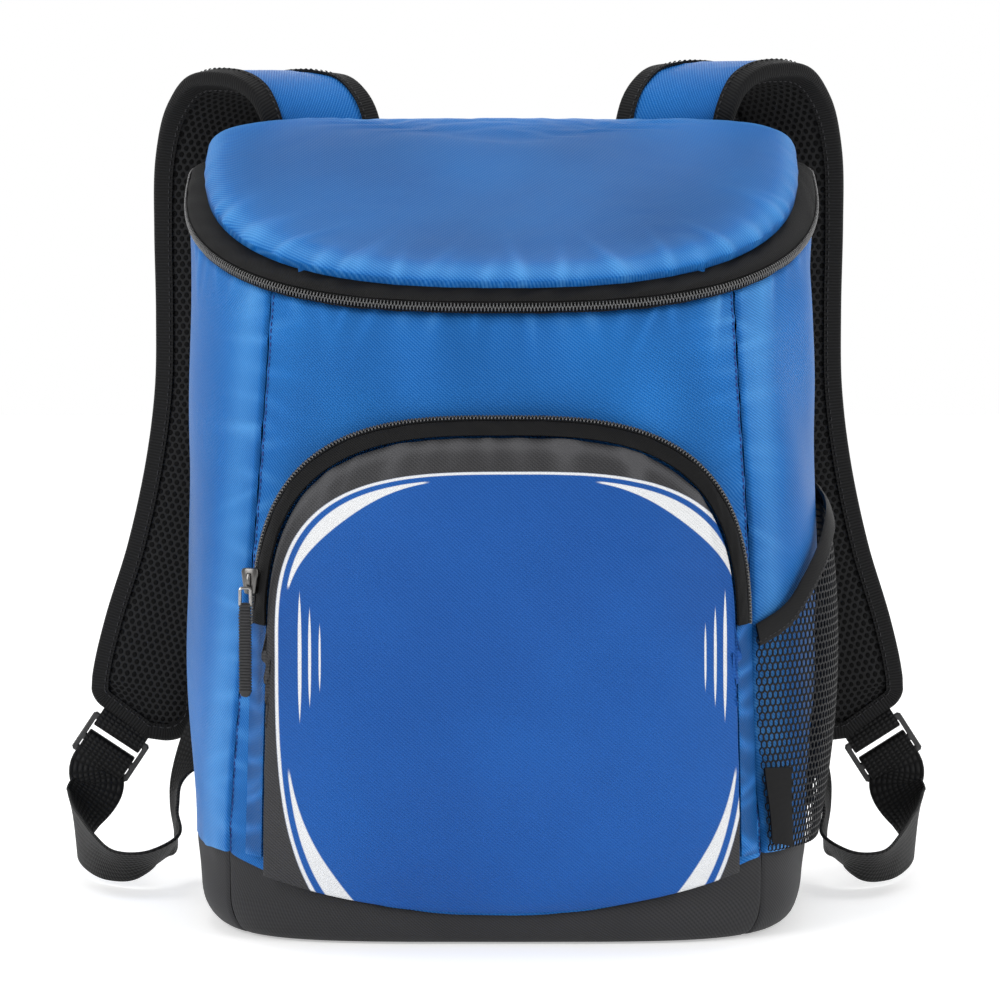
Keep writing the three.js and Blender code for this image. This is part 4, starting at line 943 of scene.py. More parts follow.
def pocket_front_points(u, v):
    across = mix(2 * u - 1, np.sin((u - 0.5) * math.pi), 0.85)
    edge_half = pocket_half - 2 * seam_gap
    foot_turn = turn_at_front(edge_half * np.abs(across) / (body_width / 2), band_height_side)
    low = band_top(np.sign(across) * foot_turn) + 2 * seam_gap
    arch = np.maximum(1 - np.abs(across) ** pocket_squareness, 0) ** (1 / pocket_squareness)
    height = mix(low, pocket_centre + (pocket_arch - 2 * seam_gap) * arch, v)
    above = np.maximum(height - pocket_centre, 0) / pocket_arch
    edge = np.minimum(np.abs(across) ** pocket_squareness + above**pocket_squareness, 1)
    fullness = (1 - edge**2) * smooth((height - low) / pocket_depth / 2)
    x = (edge_half + pocket_splay * np.maximum(1 - height / pocket_centre, 0)) * across
    return front_face(x, height, pocket_edge_depth(height) + pocket_puff * fullness)


def printed_cloth():
    """The pocket's cloth: blue field, charcoal border, and a silver-white design of plain shapes. The border is
    lighter with its weave and with a painted highlight on the crests of its gathers.
    """
    design_middle, design_half, design_level = 0.0055, 0.1175, 0.150
    finish = Finish("pocket_twill", IOR=1.24)
    u, v = finish.uv()
    x, _, z = finish.place()
    weave = twill(u, v, 0.0020)
    cloud = finish.noise(8.0, 3.0, 0.55)
    sideways, rise = abs(x - design_middle) / design_half, z - design_level
    upward = (rise.most(0.0) / 0.0895) + ((-rise).most(0.0) / 0.1667)
    edge = (sideways**3.1 + upward**3.1) ** (1 / 3.1)
    inside = (1 - edge) * design_half
    fine = 0.00035
    corner = (sideways * upward * 2.0 / (sideways * sideways + upward * upward + 0.001)) ** 5.0
    crescent_width = corner * 0.0075
    crescent = (inside - 0.0045).ramp(-fine, fine) * (crescent_width + 0.0045 - inside).ramp(-fine, fine)
    crescent = crescent * (crescent_width - 0.0008).ramp(0.0, 0.0004)
    keyline = inside.ramp(-fine, fine) * (0.0016 - inside).ramp(-fine, fine)
    art = keyline.most(crescent)
    level = abs(z - 0.148)
    for away, half_length, width in ((0.0125, 0.034, 0.0011), (0.0175, 0.026, 0.0009), (0.0225, 0.018, 0.0007)):
        taper = (1 - (level / half_length) ** 3.0) * width
        art = art.most((taper - abs((1 - sideways) * design_half - away)).ramp(0.0, 0.0004))
    field = inside.ramp(-fine, fine)
    blue = finish.blend(cloud.ramp(0.35, 0.7), (0.003, 0.054, 0.26, 1), (0.005, 0.070, 0.31, 1))
    blue = finish.blend(weave * 0.35, blue, (0.04, 0.17, 0.47, 1))
    painted_light = finish.painted_light()
    # The charcoal border's lighter tone follows its weave and its cloudy grain, and a painted highlight where the
    # painted-light value is above 0.
    border_weave_and_highlight = (weave * 0.55 + cloud * 0.25 + painted_light.most(0.0) * 0.8).least(1.0)
    charcoal = finish.blend(border_weave_and_highlight, (0.014, 0.014, 0.015, 1), (0.07, 0.07, 0.074, 1))
    colour = finish.blend(art, finish.blend(field, charcoal, blue), (0.68, 0.69, 0.70, 1))
    roughness = 0.46 + cloud * 0.1 - art * 0.08
    return finish.finish(colour, roughness, weave, 0.0003, 0.8)


pocket_twill = printed_cloth()
u, v = grid(170, 150)
pocket_rest = pocket_front_points(u, v)
pocket_held = (u < 0.004) | (u > 0.996) | (v < 0.004) | (v > 0.996)
left, right, low, high = edge_distances(pocket_rest)
away = np.minimum(np.minimum(left, right), np.minimum(high, low * 4))
pocket_amount = -tuck(away, 0.0012, 0.004)
pocket_amount += puckers(pocket_rest[..., 0], high, 61, 0.016, 0.016, 0.0016, smooth((high + 0.02) / 0.02))
for side_away, seed in ((left, 63), (right, 67)):
    pocket_amount += puckers(pocket_rest[..., 2], side_away, seed, 0.026, 0.014, 0.0005)
pocket_amount += waves(pocket_rest[..., 0], pocket_rest[..., 2], 71, 0.1, 0.0009) * smooth(away / 0.03)
pocket_growth, pocket_pressure, pocket_cap = 0.004, 1.5, 0.002
pocket_settled = settled(pocket_rest, pocket_held, smooth((away - 0.003) / 0.02), pocket_growth, pocket_pressure,
                         pocket_cap, 73)
pocket_points = pushed(pocket_settled, pocket_amount)
# Painted light for the pocket: painted highlight on the crests of the gathers below the zip and in a band along the
# top edge.
pocket_painted_light = puckers(pocket_rest[..., 0], high, 61, 0.016, 0.016, 1.0)
pocket_painted_light += 0.6 * np.exp(-(((away - 0.004) / 0.003) ** 2)) * (high < 0.01)
pocket_uvs = np.stack([pocket_rest[..., 0], pocket_rest[..., 2]], -1)
pocket = sheet_piece("pocket_front_cloth", pocket_points, pocket_thickness - 0.0008, uvs=pocket_uvs,
                     painted_light=pocket_painted_light)
dress(pocket, pocket_twill, "pocket_twill", "pocket_front")

# The gussets: narrow wrinkled strips of the body's blue cloth, one below each end of the pocket's
# zip, that join the pocket's side edge to the front panel.
gusset_spread, gusset_cloth = 0.009, 0.002
for name, side in (("left", -1), ("right", 1)):
    u, v = grid(24, 120)
    height = mix(band_height_side + seam_gap, pocket_zip_foot - seam_gap, v)
    out = u if side > 0 else 1 - u
    edge = pocket_half + pocket_splay * np.maximum(1 - height / pocket_centre, 0)
    x = side * (edge + seam_gap + (gusset_spread - seam_gap) * out)
    front_depth = pocket_edge_depth(height) - pocket_thickness - 2 * seam_gap
    points = front_face(x, height, mix(front_depth, 2 * seam_gap + gusset_cloth, out**1.6))
    amount = puckers(height, u * 0.02, 79 + side, 0.012, 0.03, 0.0016) - 0.0006
    # Painted light of the gussets: painted highlight on the crests of their gathers and painted shade between them,
    # the whole a little darker.
    gusset = sheet_piece("pocket_gusset_cloth_" + name, pushed(points, amount * np.sin(u * math.pi)),
                         gusset_cloth - 0.0006, painted_light=amount / 0.0012 - 0.3)
    dress(gusset, blue_twill, "blue_twill", "pocket_gusset_" + name)

# The pocket's zip: a narrow tape on the body, a coil that faces outwards, and a wider tape that
# turns in to the pocket's edge, all along one arch.
pocket_zip_section = np.array([(0.0, 1.0, 0.05), (0.25, 1.0, 0.4), (0.5, 0.85, 0.78), (0.75, 0.45, 0.95),
                               (1.0, 0.0, 1.0)])
zip_foot_angle = math.acos((pocket_zip_foot - pocket_centre) / pocket_zip_half)


def pocket_zip_point(angle, place):
    angle, place = np.broadcast_arrays(np.asarray(angle, float), np.asarray(place, float))
    out, rise = read(pocket_zip_section, 1, place), read(pocket_zip_section, 2, place)
    half, arch = mix(pocket_half, pocket_zip_half, out), mix(pocket_arch, pocket_zip_arch, out)
    power = pocket_squareness
    radius = (np.abs(np.sin(angle) / half) ** power + np.abs(np.cos(angle) / arch) ** power) ** (-1 / power)
    height = pocket_centre + radius * np.cos(angle)
    return front_face(radius * np.sin(angle), height, 2 * seam_gap + (pocket_edge_depth(height) - 2 * seam_gap) * rise)


def pocket_zip_strip(start, end, thickness):
    u, v = grid(300, 6)
    points = pocket_zip_point(mix(-zip_foot_angle, zip_foot_angle, u), mix(end, start, v))
    return pushed(points, np.full(u.shape, thickness)), points


for name, start, end, seed in (("outer", 0.0, 0.2, 83), ("inner", 0.54, 0.98, 89)):
    outside, inside = pocket_zip_strip(start, end, zip_tape)
    ripple = waves(travelled(outside, 1), travelled(outside, 0), seed, 0.02, 0.00025)
    tape = sheet_piece("pocket_zip_" + name, pushed(outside, ripple), zip_tape, inside=inside)
    dress(tape, zip_tape_cloth, "zip_tape", "pocket_zip_tape_" + name)
outside, inside = pocket_zip_strip(0.22, 0.52, zip_chain_thickness - 0.0008)
dress(sheet_piece("pocket_zip_chain_tape", outside, zip_tape, inside=inside), zip_tape_cloth, "zip_coil",
      "pocket_zip_chain")
coil_line = pocket_zip_strip(0.22, 0.52, zip_chain_thickness - 0.0006)[0]
pocket_coil = laid_along("pocket_zip_coil", [(coil_line[3], facing(coil_line)[3])], coil_turns(0.0046), tooth_pitch,
                         coil_nylon, 0.02, 91)
dress(pocket_coil, coil_nylon, "zip_coil")

# The sliders and pulls: a dark metal slider on each zip. The pocket's has a bright link and a
# long ribbed textile pull, and the lid's hangs behind at the back.


def metal(name, tone, roughness):
    finish = Finish(name, Metallic=1.0)
    grain = finish.noise(260.0, 3.0)
    colour = finish.blend(grain, (*[c * 0.8 for c in tone], 1), (*tone, 1))
    return finish.finish(colour, roughness + grain * 0.12)


gunmetal = metal("dark_zip_metal", (0.16, 0.155, 0.15), 0.26)
link_metal = metal("link_metal", (0.34, 0.33, 0.32), 0.2)
pull_finish = Finish("pull_webbing", Sheen_Weight=0.03, Specular_IOR_Level=0.3)
pull_grain = pull_finish.noise(700.0, 3.0)
pull_cloth = pull_finish.finish(pull_finish.blend(pull_grain, (0.012, 0.012, 0.013, 1), (0.04, 0.04, 0.042, 1)),
                                0.5 + pull_grain * 0.2, pull_grain, 0.0002, 0.6)


def basis(origin, along, across, up):
    turned = Matrix([list(along), list(across), list(up)]).transposed().to_4x4()
    return Matrix.Translation(Vector(origin)) @ turned


def solid_piece(name, bodies, material, slot, node, square):
    points, faces = ringed(bodies, 12, square)
    return dress(new_piece(name, points, faces), material, slot, node)


def slider_bodies(centre, along, facing_way):
    """A slider: a waisted body, wider at its mouth, with a low bridge over it for the pull."""
    along, facing_way = Vector(along).normalized(), Vector(facing_way).normalized()
    across = facing_way.cross(along).normalized()
    place = basis(centre, along, across, facing_way)
    body = [(-0.0066, 0, 0, 0.0016, 0.0012), (-0.0060, 0, 0, 0.0030, 0.0019), (-0.003, 0, 0, 0.0036, 0.0022),
            (0.001, 0, 0, 0.0041, 0.0022), (0.0048, 0, 0, 0.0046, 0.0021), (0.0062, 0, 0, 0.0040, 0.0018),
            (0.0067, 0, 0, 0.0028, 0.0011)]
    bridge = [(-0.0042, 0, 0.0012, 0.0010, 0.0006), (-0.0034, 0, 0.0026, 0.0011, 0.0007),
              (-0.0012, 0, 0.0034, 0.0012, 0.0007), (0.0016, 0, 0.0034, 0.0012, 0.0007),
              (0.0036, 0, 0.0026, 0.0011, 0.0007), (0.0044, 0, 0.0012, 0.0010, 0.0006)]
    return [(body, place), (bridge, place)]


def ribbed_pull(top, facing_way, length):
    along = Vector((0, 0, -1))
    facing_way = Vector(facing_way).normalized()
    across = facing_way.cross(along).normalized()
    rings = [(0.0, 0, 0, 0.0012, 0.0008), (0.0004, 0, 0, 0.0024, 0.0013)]
    count = int(length / 0.0016)
    for k in range(count):
        start = 0.0008 + k * (length - 0.003) / count
        width = 0.0031 if k < 3 else 0.00325
        rings += [(start, 0, 0, width - 0.0005, 0.0010), (start + 0.0004, 0, 0, width, 0.0015),
                  (start + 0.001, 0, 0, width, 0.0015)]
    rings += [(length - 0.0022, 0, 0, 0.0029, 0.0012), (length - 0.0006, 0, 0, 0.0022, 0.0009),
              (length, 0, 0, 0.0010, 0.0005)]
    return [(rings, basis(top, along, across, facing_way))]


def tube(path, radius, sides=8):
    """Points and faces of a closed ring of wire along a path."""
    path = [Vector(p) for p in path]
    middle = sum(path, Vector()) / len(path)
    normal = (path[0] - middle).cross(path[len(path) // 4] - middle).normalized()
    points, faces = [], []
    for i, centre in enumerate(path):
        out = (path[(i + 1) % len(path)] - path[i - 1]).normalized().cross(normal)
        for k in range(sides):
            angle = math.tau * k / sides
            points.append(tuple(centre + (out * math.cos(angle) + normal * math.sin(angle)) * radius))
    for i in range(len(path)):
        for k in range(sides):
            j, m = (i + 1) % len(path), (k + 1) % sides
            faces.append((i * sides + k, j * sides + k, j * sides + m, i * sides + m))
    return points, faces


slider_place = (-0.1245, -0.0965, 0.184)
solid_piece("pocket_slider", slider_bodies(slider_place, (0, 0, 1), (-0.35, -1, 0.1)), gunmetal, "dark_zip_metal",
            "pocket_zip_slider", square=3.0)
link_half, link_reach, link_round = 0.0026, 0.0046, 0.0011
link_x, link_y, link_z = -0.1268, -0.1013, 0.1765
link_path = []
for quarter in range(4):
    cx = (link_half - link_round) * (1 if quarter in (0, 3) else -1)
    cz = (link_reach - link_round) * (1 if quarter < 2 else -1)
    for k in range(5):
        angle = (quarter + k / 4) * math.pi / 2
        link_path.append((link_x + cx + link_round * math.cos(angle), link_y,
                          link_z + cz + link_round * math.sin(angle)))
points, faces = tube(link_path, 0.0008)
dress(new_piece("pocket_link", points, faces), link_metal, "dark_zip_metal", "pocket_zip_link")
solid_piece("pocket_pull", ribbed_pull((-0.1270, link_y, 0.1738), (-0.2, -1, 0), 0.047), pull_cloth, "black_webbing",
            "pocket_zip_pull", square=3.5)
solid_piece("lid_slider", slider_bodies((-0.1385, 0.0885, 0.3914), (1, 0, 0.1), (0, 1, 0.2)), gunmetal,
            "dark_zip_metal", "lid_zip_slider", square=3.0)
solid_piece("lid_pull", ribbed_pull((-0.138, 0.0932, 0.3944), (0, 1, 0), 0.0235), pull_cloth, "black_webbing",
            "lid_zip_pull", square=3.5)

# The back panel: a plain pad of black spacer mesh against the wearer's back, sewn at its sides and
# rising to the lid between the ends of the zip.


def mesh_cloth(name, pitch, tone):
    """Spacer mesh: a knit with rows of round holes set in a honeycomb."""
    finish = Finish(name, Specular_IOR_Level=0.12)
    u, v = finish.uv()
    nearest = None
    for shift in (0.0, 0.5):
        across = ((u / pitch + shift) % 1.0) - 0.5
        up = (((v / (pitch * 1.732)) + shift) % 1.0 - 0.5) * 1.732
        away = (across * across + up * up * 0.8) ** 0.5
        nearest = away if nearest is None else nearest.least(away)
    thread = nearest.ramp(0.24, 0.38)
    knit = ((u + v * 0.6) * (math.tau / 0.0006)).sine() * 0.5 + 0.5
    cloud = finish.noise(30.0, 3.0)
    colour = finish.blend(thread * (0.75 + knit * 0.25), (0.0015, 0.0015, 0.0016, 1), (tone, tone, tone * 1.03, 1))
    return finish.finish(colour, 0.6 + cloud * 0.15, thread, 0.0007, 0.9)


spacer_mesh = mesh_cloth("black_spacer_mesh", 0.0040, 0.02)


def right_back_start(height=0.0): return back_seam + seam_angle
def left_back_start(height=0.0): return 2 * math.pi - back_seam - seam_angle


def back_top_rise(turn):
    return (zip_band_height - seam_gap) * smooth((abs(math.sin(zip_end)) - np.abs(np.sin(turn))) / 0.12)


back_rest = wall(right_back_start, left_back_start, 130, 130, back_top_rise)
left, right, low, high = edge_distances(back_rest)
away = np.minimum(np.minimum(left, right), np.minimum(low, high))
back_amount = waves(left, low, 101, 0.09, 0.0005) * smooth(away / 0.03) - tuck(away, 0.0016, 0.007)
back_amount -= 0.0012 * np.exp(-(((away - 0.021) / 0.0022) ** 2))
back = sheet_piece("back_pad", pushed(back_rest, back_amount), back_padding - 0.002)
dress(back, spacer_mesh, "black_spacer_mesh", "back_panel")

# The net pocket on the right: black hexagonal net, full in the middle, hung from a folded binding
# that falls towards the front, with a bare woven label over its lower front corner.
net_puff, net_thickness, net_binding_width, net_binding_thickness = 0.009, 0.0014, 0.011, 0.0024
net_sections = np.array([(0.0, 0.47, 0.0), (0.12, 0.5, 0.25), (0.2, 0.537, 0.5), (0.3, 0.58, 0.8), (0.45, 0.635, 1.0),
                         (0.75, 0.66, 0.6), (1.0, 0.665, 0.0)])
net_clear = net_thickness + net_binding_thickness + seam_gap
net_low = band_height_side + 2 * seam_gap


def net_top(share):
    return front_height * read(net_sections, 1, share)


def net_point(share, up, proud=0.0):
    share, up = np.broadcast_arrays(np.asarray(share, float), np.asarray(up, float))
    height = mix(net_low, net_top(share), up)
    puff = net_puff * read(net_sections, 2, share) * np.sin(math.pi * np.minimum(0.12 + 0.7 * up, 1))
    return plan_point(mix(right_of_front(height), right_back_edge(), share), height, net_clear + puff + proud)


def net_tree():
    """Threads round the cells of a honeycomb: each cell's middle is cut out and the rest thickened."""
    tree = bpy.data.node_groups.new("net_of_cells", "GeometryNodeTree")
    for name, kind, start in (("Cells", "Geometry", None), ("Thread", "Float", 0.2), ("Thickness", "Float", 0.001),
                              ("Finish", "Material", None)):
        socket = tree.interface.new_socket(name, in_out="INPUT", socket_type="NodeSocket" + kind)
        if start is not None:
            socket.default_value = start
    tree.interface.new_socket("Result", in_out="OUTPUT", socket_type="NodeSocketGeometry")
    new, join = tree.nodes.new, tree.links.new
    given, result = new("NodeGroupInput"), new("NodeGroupOutput")
    inset, shrunk = new("GeometryNodeExtrudeMesh"), new("GeometryNodeScaleElements")
    cut = new("GeometryNodeDeleteGeometry")
    inset.inputs["Offset Scale"].default_value = 0.0
    inset.inputs["Individual"].default_value = True
    cut.domain = "FACE"
    size = new("ShaderNodeMath")
    size.operation = "SUBTRACT"
    size.inputs[0].default_value = 1.0
    thick, flipped = new("GeometryNodeExtrudeMesh"), new("GeometryNodeFlipFaces")
    both = new("GeometryNodeJoinGeometry")
    thick.inputs["Individual"].default_value = False
    welded, painted = new("GeometryNodeMergeByDistance"), new("GeometryNodeSetMaterial")
    welded.inputs["Distance"].default_value = 0.00002
    join(given.outputs["Cells"], inset.inputs["Mesh"])
    join(inset.outputs["Mesh"], shrunk.inputs["Geometry"])
    join(inset.outputs["Top"], shrunk.inputs["Selection"])
    join(given.outputs["Thread"], size.inputs[1])
    join(size.outputs[0], shrunk.inputs["Scale"])
    join(shrunk.outputs[0], cut.inputs["Geometry"])
    join(inset.outputs["Top"], cut.inputs["Selection"])
    join(cut.outputs[0], thick.inputs["Mesh"])
    join(given.outputs["Thickness"], thick.inputs["Offset Scale"])
    join(cut.outputs[0], flipped.inputs[0])
    join(thick.outputs["Mesh"], both.inputs[0])
    join(flipped.outputs[0], both.inputs[0])
    join(both.outputs[0], welded.inputs[0])
    join(welded.outputs[0], painted.inputs["Geometry"])
    join(given.outputs["Finish"], painted.inputs["Material"])
    join(painted.outputs[0], result.inputs[0])
    return tree


net_finish = Finish("black_net", Sheen_Weight=0.03, Specular_IOR_Level=0.2)
net_grain = net_finish.noise(900.0)
net_cord = net_finish.finish(net_finish.blend(net_grain, (0.003, 0.003, 0.0035, 1), (0.012, 0.012, 0.013, 1)),
                             0.5 + net_grain * 0.2)
cell_pitch = 0.0041
net_length = travelled(net_point(np.linspace(0, 1, 200)[None], 0.5), 1)[0, -1]
cell_rise, cell_corner = cell_pitch * math.sqrt(3) / 2, cell_pitch / math.sqrt(3)
cells, corners, corner_index = [], [], {}
for row in range(int((front_height * 0.68 - net_low) / cell_rise) + 1):
    for column in range(int(net_length / cell_pitch) + 1):
        s = (column + 0.5 + 0.5 * (row % 2)) * cell_pitch
        t = (row + 0.5) * cell_rise
        if s > net_length - 0.001 or net_low + t > float(net_top(s / net_length)) + 0.004:
            continue
        cell = []
        for k in range(6):
            angle = math.pi / 6 + k * math.pi / 3
            spot = (s + cell_corner * math.cos(angle), t + cell_corner * math.sin(angle))
            key = (round(spot[0] * 1e5), round(spot[1] * 1e5))
            if key not in corner_index:
                corner_index[key] = len(corners)
                corners.append(spot)
            cell.append(corner_index[key])
        cells.append(cell)
corners = np.array(corners)
share = np.clip(corners[:, 0] / net_length, 0.002, 0.998)
up = np.clip(corners[:, 1] / (net_top(share) - net_low), 0.0, 1.05)
net_mesh = bpy.data.meshes.new("net_cells")
net_mesh.from_pydata(net_point(share, up, -net_thickness).tolist(), [], cells)
net = grown("net_cloth", net_mesh, net_tree(), Thread=0.2, Thickness=0.0008, Finish=net_cord)
dress(net, net_cord, "black_net", "net_pocket")


def tape_finish(name, tone, pitch, depth=0.0003):
    """Grosgrain tape: close ribs across its width."""
    finish = Finish(name, Specular_IOR_Level=0.12)
    rib = (finish.uv()[1] * (math.tau / pitch)).sine() * 0.5 + 0.5
    speckle = finish.noise(650.0, 2.0)
    dark, light = tone * 0.4, tone * 1.9
    colour = finish.blend(rib * 0.6 + speckle * 0.4, (dark, dark, tone * 0.42, 1), (light, light, light * 1.04, 1))
    return finish.finish(colour, 0.55 + speckle * 0.15, rib + speckle * 0.4, depth, 0.8)


grosgrain = tape_finish("black_binding", 0.0075, 0.0017)
folded_tape = charcoal_cloth("folded_binding", 0.009, 0.0011)
u, v = grid(120, 16)
rise = (0.0008 + net_binding_width * v) / (net_top(u) - band_height_side)
binding_points = net_point(u, 1 + rise, (0.5 - v) * net_binding_thickness)
left, right, low, high = edge_distances(binding_points)
binding_amount = 0.0007 * np.sin(v * math.pi) + puckers(left, low, 107, 0.02, 0.008, 0.0007)
binding_amount -= tuck(low, 0.0008, 0.0014) + tuck(high, 0.0008, 0.0014)
binding_outside = pushed(binding_points, binding_amount)
dress(sheet_piece("net_binding", binding_outside, net_binding_thickness - 0.0006), folded_tape, "black_binding",
      "net_pocket_binding")
binding_stitches = laid_along("net_binding_stitches", [(binding_outside[3], facing(binding_points)[3])],
                              stitch(0.0024, 0.0006, 0.0005), 0.0033, black_thread, 0.1, 109)
dress(binding_stitches, black_thread, "black_binding")

u, v = grid(40, 60)
label_height = band_height_side + 0.040 * mix(0.03, 1, v) + 0.004 * (1 - u)
label_points = net_point(0.1 * u, (label_height - band_height_side) / (net_top(0.0) - band_height_side), 0.0016)
label = sheet_piece("label_cloth", pushed(label_points, 0.0004 * np.sin(v * 5.0 + u * 2.0)), 0.0009)
label_finish = tape_finish("label_satin", 0.009, 0.0006, 0.0001)
dress(label, label_finish, "black_binding", "side_label")

# The shoulder straps: curved pads with blue cloth outside and spacer mesh towards the wearer,
# bound all round with black grosgrain that is stitched through.
strap_width, strap_thickness, strap_edge_thickness, strap_cover = 0.063, 0.011, 0.0046, 0.0016
strap_stand_off, strap_top = 0.062, 0.123
strap_cut_slope = math.radians(30)
strap_inner_corner, strap_outer_corner = 0.022, 0.006
binding_width, binding_thickness, pad_slope = 0.010, 0.0015, 0.022
back_face, arch_height, half_body = widest_line + back_reach, front_height + strap_top, body_width / 2
strap_stations = np.array([
    (-0.558, 0.126, 0.832, 0), (-0.57, 0.13, 0.885, 2), (-0.594, 0.165, 0.938, 10), (-0.668, 0.29, 0.975, 24),
    (-0.78, 0.53, 0.99, 34), (-0.885, 0.79, 0.982, 30), (-0.945, 0.95, 0.944, 20), (-0.975, 1.0, 0.885, 9),
    (-0.979, 1.0, 0.805, 3), (-0.976, 1.0, 0.7, 0), (-0.982, 1.0, 0.6, 0), (-1.018, 1.0, 0.497, 0),
    (-1.085, 1.0, 0.386, 0), (-1.165, 1.0, 0.29, 0), (-1.205, 1.0, 0.225, 0), (-1.217, 1.0, 0.156, 0)])


def curve_through(points, places):
    """A smooth curve through points, read at places counted in points, with its directions."""
    points = np.asarray(points, float)
    ends = np.concatenate([[2 * points[0] - points[1]], points, [2 * points[-1] - points[-2]]])

    def at(place):
        i = np.clip(np.floor(place).astype(int), 0, len(points) - 2)
        t = (place - i)[:, None]
        a, b, c, d = [ends[i + k] for k in range(4)]
        ab, bc, cd = [np.sqrt(np.linalg.norm(q - p, axis=-1, keepdims=True)) for p, q in ((a, b), (b, c), (c, d))]
        start = ((b - a) / ab - (c - a) / (ab + bc) + (c - b) / bc) * bc
        end = ((c - b) / bc - (d - b) / (bc + cd) + (d - c) / cd) * bc
        return b + start * t + (3 * (c - b) - 2 * start - end) * t**2 + (2 * (b - c) + start + end) * t**3

    places = np.asarray(places, float)
    ways = at(np.minimum(places + 1e-3, len(points) - 1)) - at(np.maximum(places - 1e-3, 0))
    return at(places), ways / np.linalg.norm(ways, axis=-1, keepdims=True)


def unit(vectors):
    return vectors / np.linalg.norm(vectors, axis=-1, keepdims=True)


def strap_frames(lift, spread, count=230):
    """The strap's centre line: places, directions, the way its width points and its upper side."""
    across, back, up, swing = strap_stations.T
    stations = np.stack([half_body * (across - spread * up**-0.3), back_face + strap_stand_off * back,
                         arch_height * up + strap_top * lift * smooth(up * 2 - 1)], -1)
    fine = np.linspace(0, len(stations) - 2, 1200)
    line = curve_through(stations, fine)[0]
    run = arc_length(line)
    places = np.interp(np.linspace(0, run[-1], count), run, fine)
    centre, along = curve_through(stations, places)
    turn = np.radians(np.interp(places, range(len(swing)), swing))
    width = np.stack([-np.cos(turn), -np.sin(turn), np.zeros_like(turn)], -1)
    width = unit(width - along * np.sum(width * along, -1, keepdims=True))
    end, end_along = curve_through(stations, [len(stations) - 1.0])
    end_width = np.array([-1.0, 0.0, 0.0])
    end_width = unit(end_width - end_along[0] * np.dot(end_width, end_along[0]))
    return {"centre": centre, "along": along, "across": width, "up": np.cross(along, width), "end": end[0],
            "end_along": end_along[0], "end_across": end_width, "end_up": np.cross(end_along[0], end_width),
            "run": np.linspace(0, run[-1], count)}


def strap_cut(across):
    corner = np.where(across > 0, strap_outer_corner, strap_inner_corner)
    beyond = np.clip((np.abs(across) - strap_width / 2 + corner) / corner, 0, 1)
    return np.maximum(across, 0) * math.tan(strap_cut_slope) + corner * (1 - np.sqrt(1 - beyond**2))


def strap_point(frames, row, across, height, inset):
    """A place on the strap: rows past its last frame are shares of the rest of its length."""
    last = len(frames["centre"]) - 1
    row, across, height = np.broadcast_arrays(*[np.asarray(value, float) for value in (row, across, height)])
    i = np.minimum(row, last).astype(int)
    step = np.clip(row - last, 0, 1)
    room = frames["end"] - frames["centre"][i]
    length = np.linalg.norm(room, axis=-1)
    reach = (length - strap_cut(across) - inset) * step
    return (frames["centre"][i] + room / length[..., None] * reach[..., None] + frames["across"][i] * across[..., None]
            + frames["up"][i] * height[..., None])


def pad_half(inside):
    share = np.clip(inside / pad_slope, 0, 1)
    return mix(strap_edge_thickness, strap_thickness, np.sin(share * math.pi / 2)) / 2


strap_end_rows = 26


def strap_rows(frames):
    last = len(frames["centre"]) - 1
    return np.concatenate([np.arange(last), last + np.linspace(0, 1, strap_end_rows)])


def strap_layer(name, frames, low_level, high_level, seed, fold):
    """One layer of the pad, between two levels that are shares of its half thickness."""
    clear, edge = binding_thickness + seam_gap, strap_width / 2
    last = len(frames["centre"]) - 1
    rows = strap_rows(frames)[:, None]
    share = np.sin(np.linspace(-1, 1, 33) * math.pi / 2)[None]
    step = np.clip(rows - last, 0, 1)
    taper = mix(1.0, 0.9, smooth(step * 3))
    across = share * (edge - clear) * taper
    from_end = (1 - step) * pad_slope * 1.5 + 99.0 * (step == 0)
    inside = np.minimum(edge - np.abs(across / taper), np.maximum(from_end, clear))
    thick = pad_half(inside) * taper
    run = np.concatenate([frames["run"][:-1], frames["run"][-1] + np.linspace(0, 0.03, strap_end_rows)])
    run = np.broadcast_to(run[:, None], thick.shape)
    crease = np.zeros_like(thick)
    for side, more in ((1, 0), (-1, 5)):
        crease += puckers(run, np.maximum(edge - side * across - 0.009, 0), seed + more, 0.011, 0.011, fold)
    crease += waves(run, across, seed + 9, 0.05, fold * 0.5)
    grow = smooth((inside - clear) / 0.012)
    low, high = low_level(thick), high_level(thick)
    outward = high_level(1.0) > 0.99
    if outward:
        high = high + crease * grow
    else:
        low = low - crease * grow
    top, under = [strap_point(frames, rows, across, level, clear * 1.7) for level in (high, low)]
    uvs = np.stack([np.broadcast_to(across, thick.shape), run], -1)
    if not outward:
        return sheet_piece(name, under[:, ::-1], 0.002, False, top[:, ::-1], uvs[:, ::-1])
    return sheet_piece(name, top, 0.002, False, under, uvs)


def strap_edge(frames):
    """Places round the strap's edge and the way inwards: down one side, round the cut and up."""
    edge, last = strap_width / 2, len(frames["centre"]) - 1
    half_turn = np.linspace(0, math.pi, 61)
    row = np.concatenate([np.arange(last), last + np.linspace(0, 1, strap_end_rows)[:-1], np.full(61, last + 1.0),
                          last + np.linspace(1, 0, strap_end_rows)[1:], np.arange(last)[::-1]])
    straight = last + strap_end_rows - 1
    across = np.concatenate([np.full(straight, edge), edge * np.cos(half_turn), np.full(straight, -edge)])
    places = strap_point(frames, row, across, 0.0, 0.0)
    steps = np.concatenate([[True], np.linalg.norm(np.diff(places, axis=0), axis=1) > 0.0003])
    row, places = row[steps], places[steps]
    along = unit(np.gradient(places, axis=0))
    up = frames["up"][np.minimum(row, last).astype(int)]
    inwards = -unit(np.cross(up, along))
    return places, inwards, up


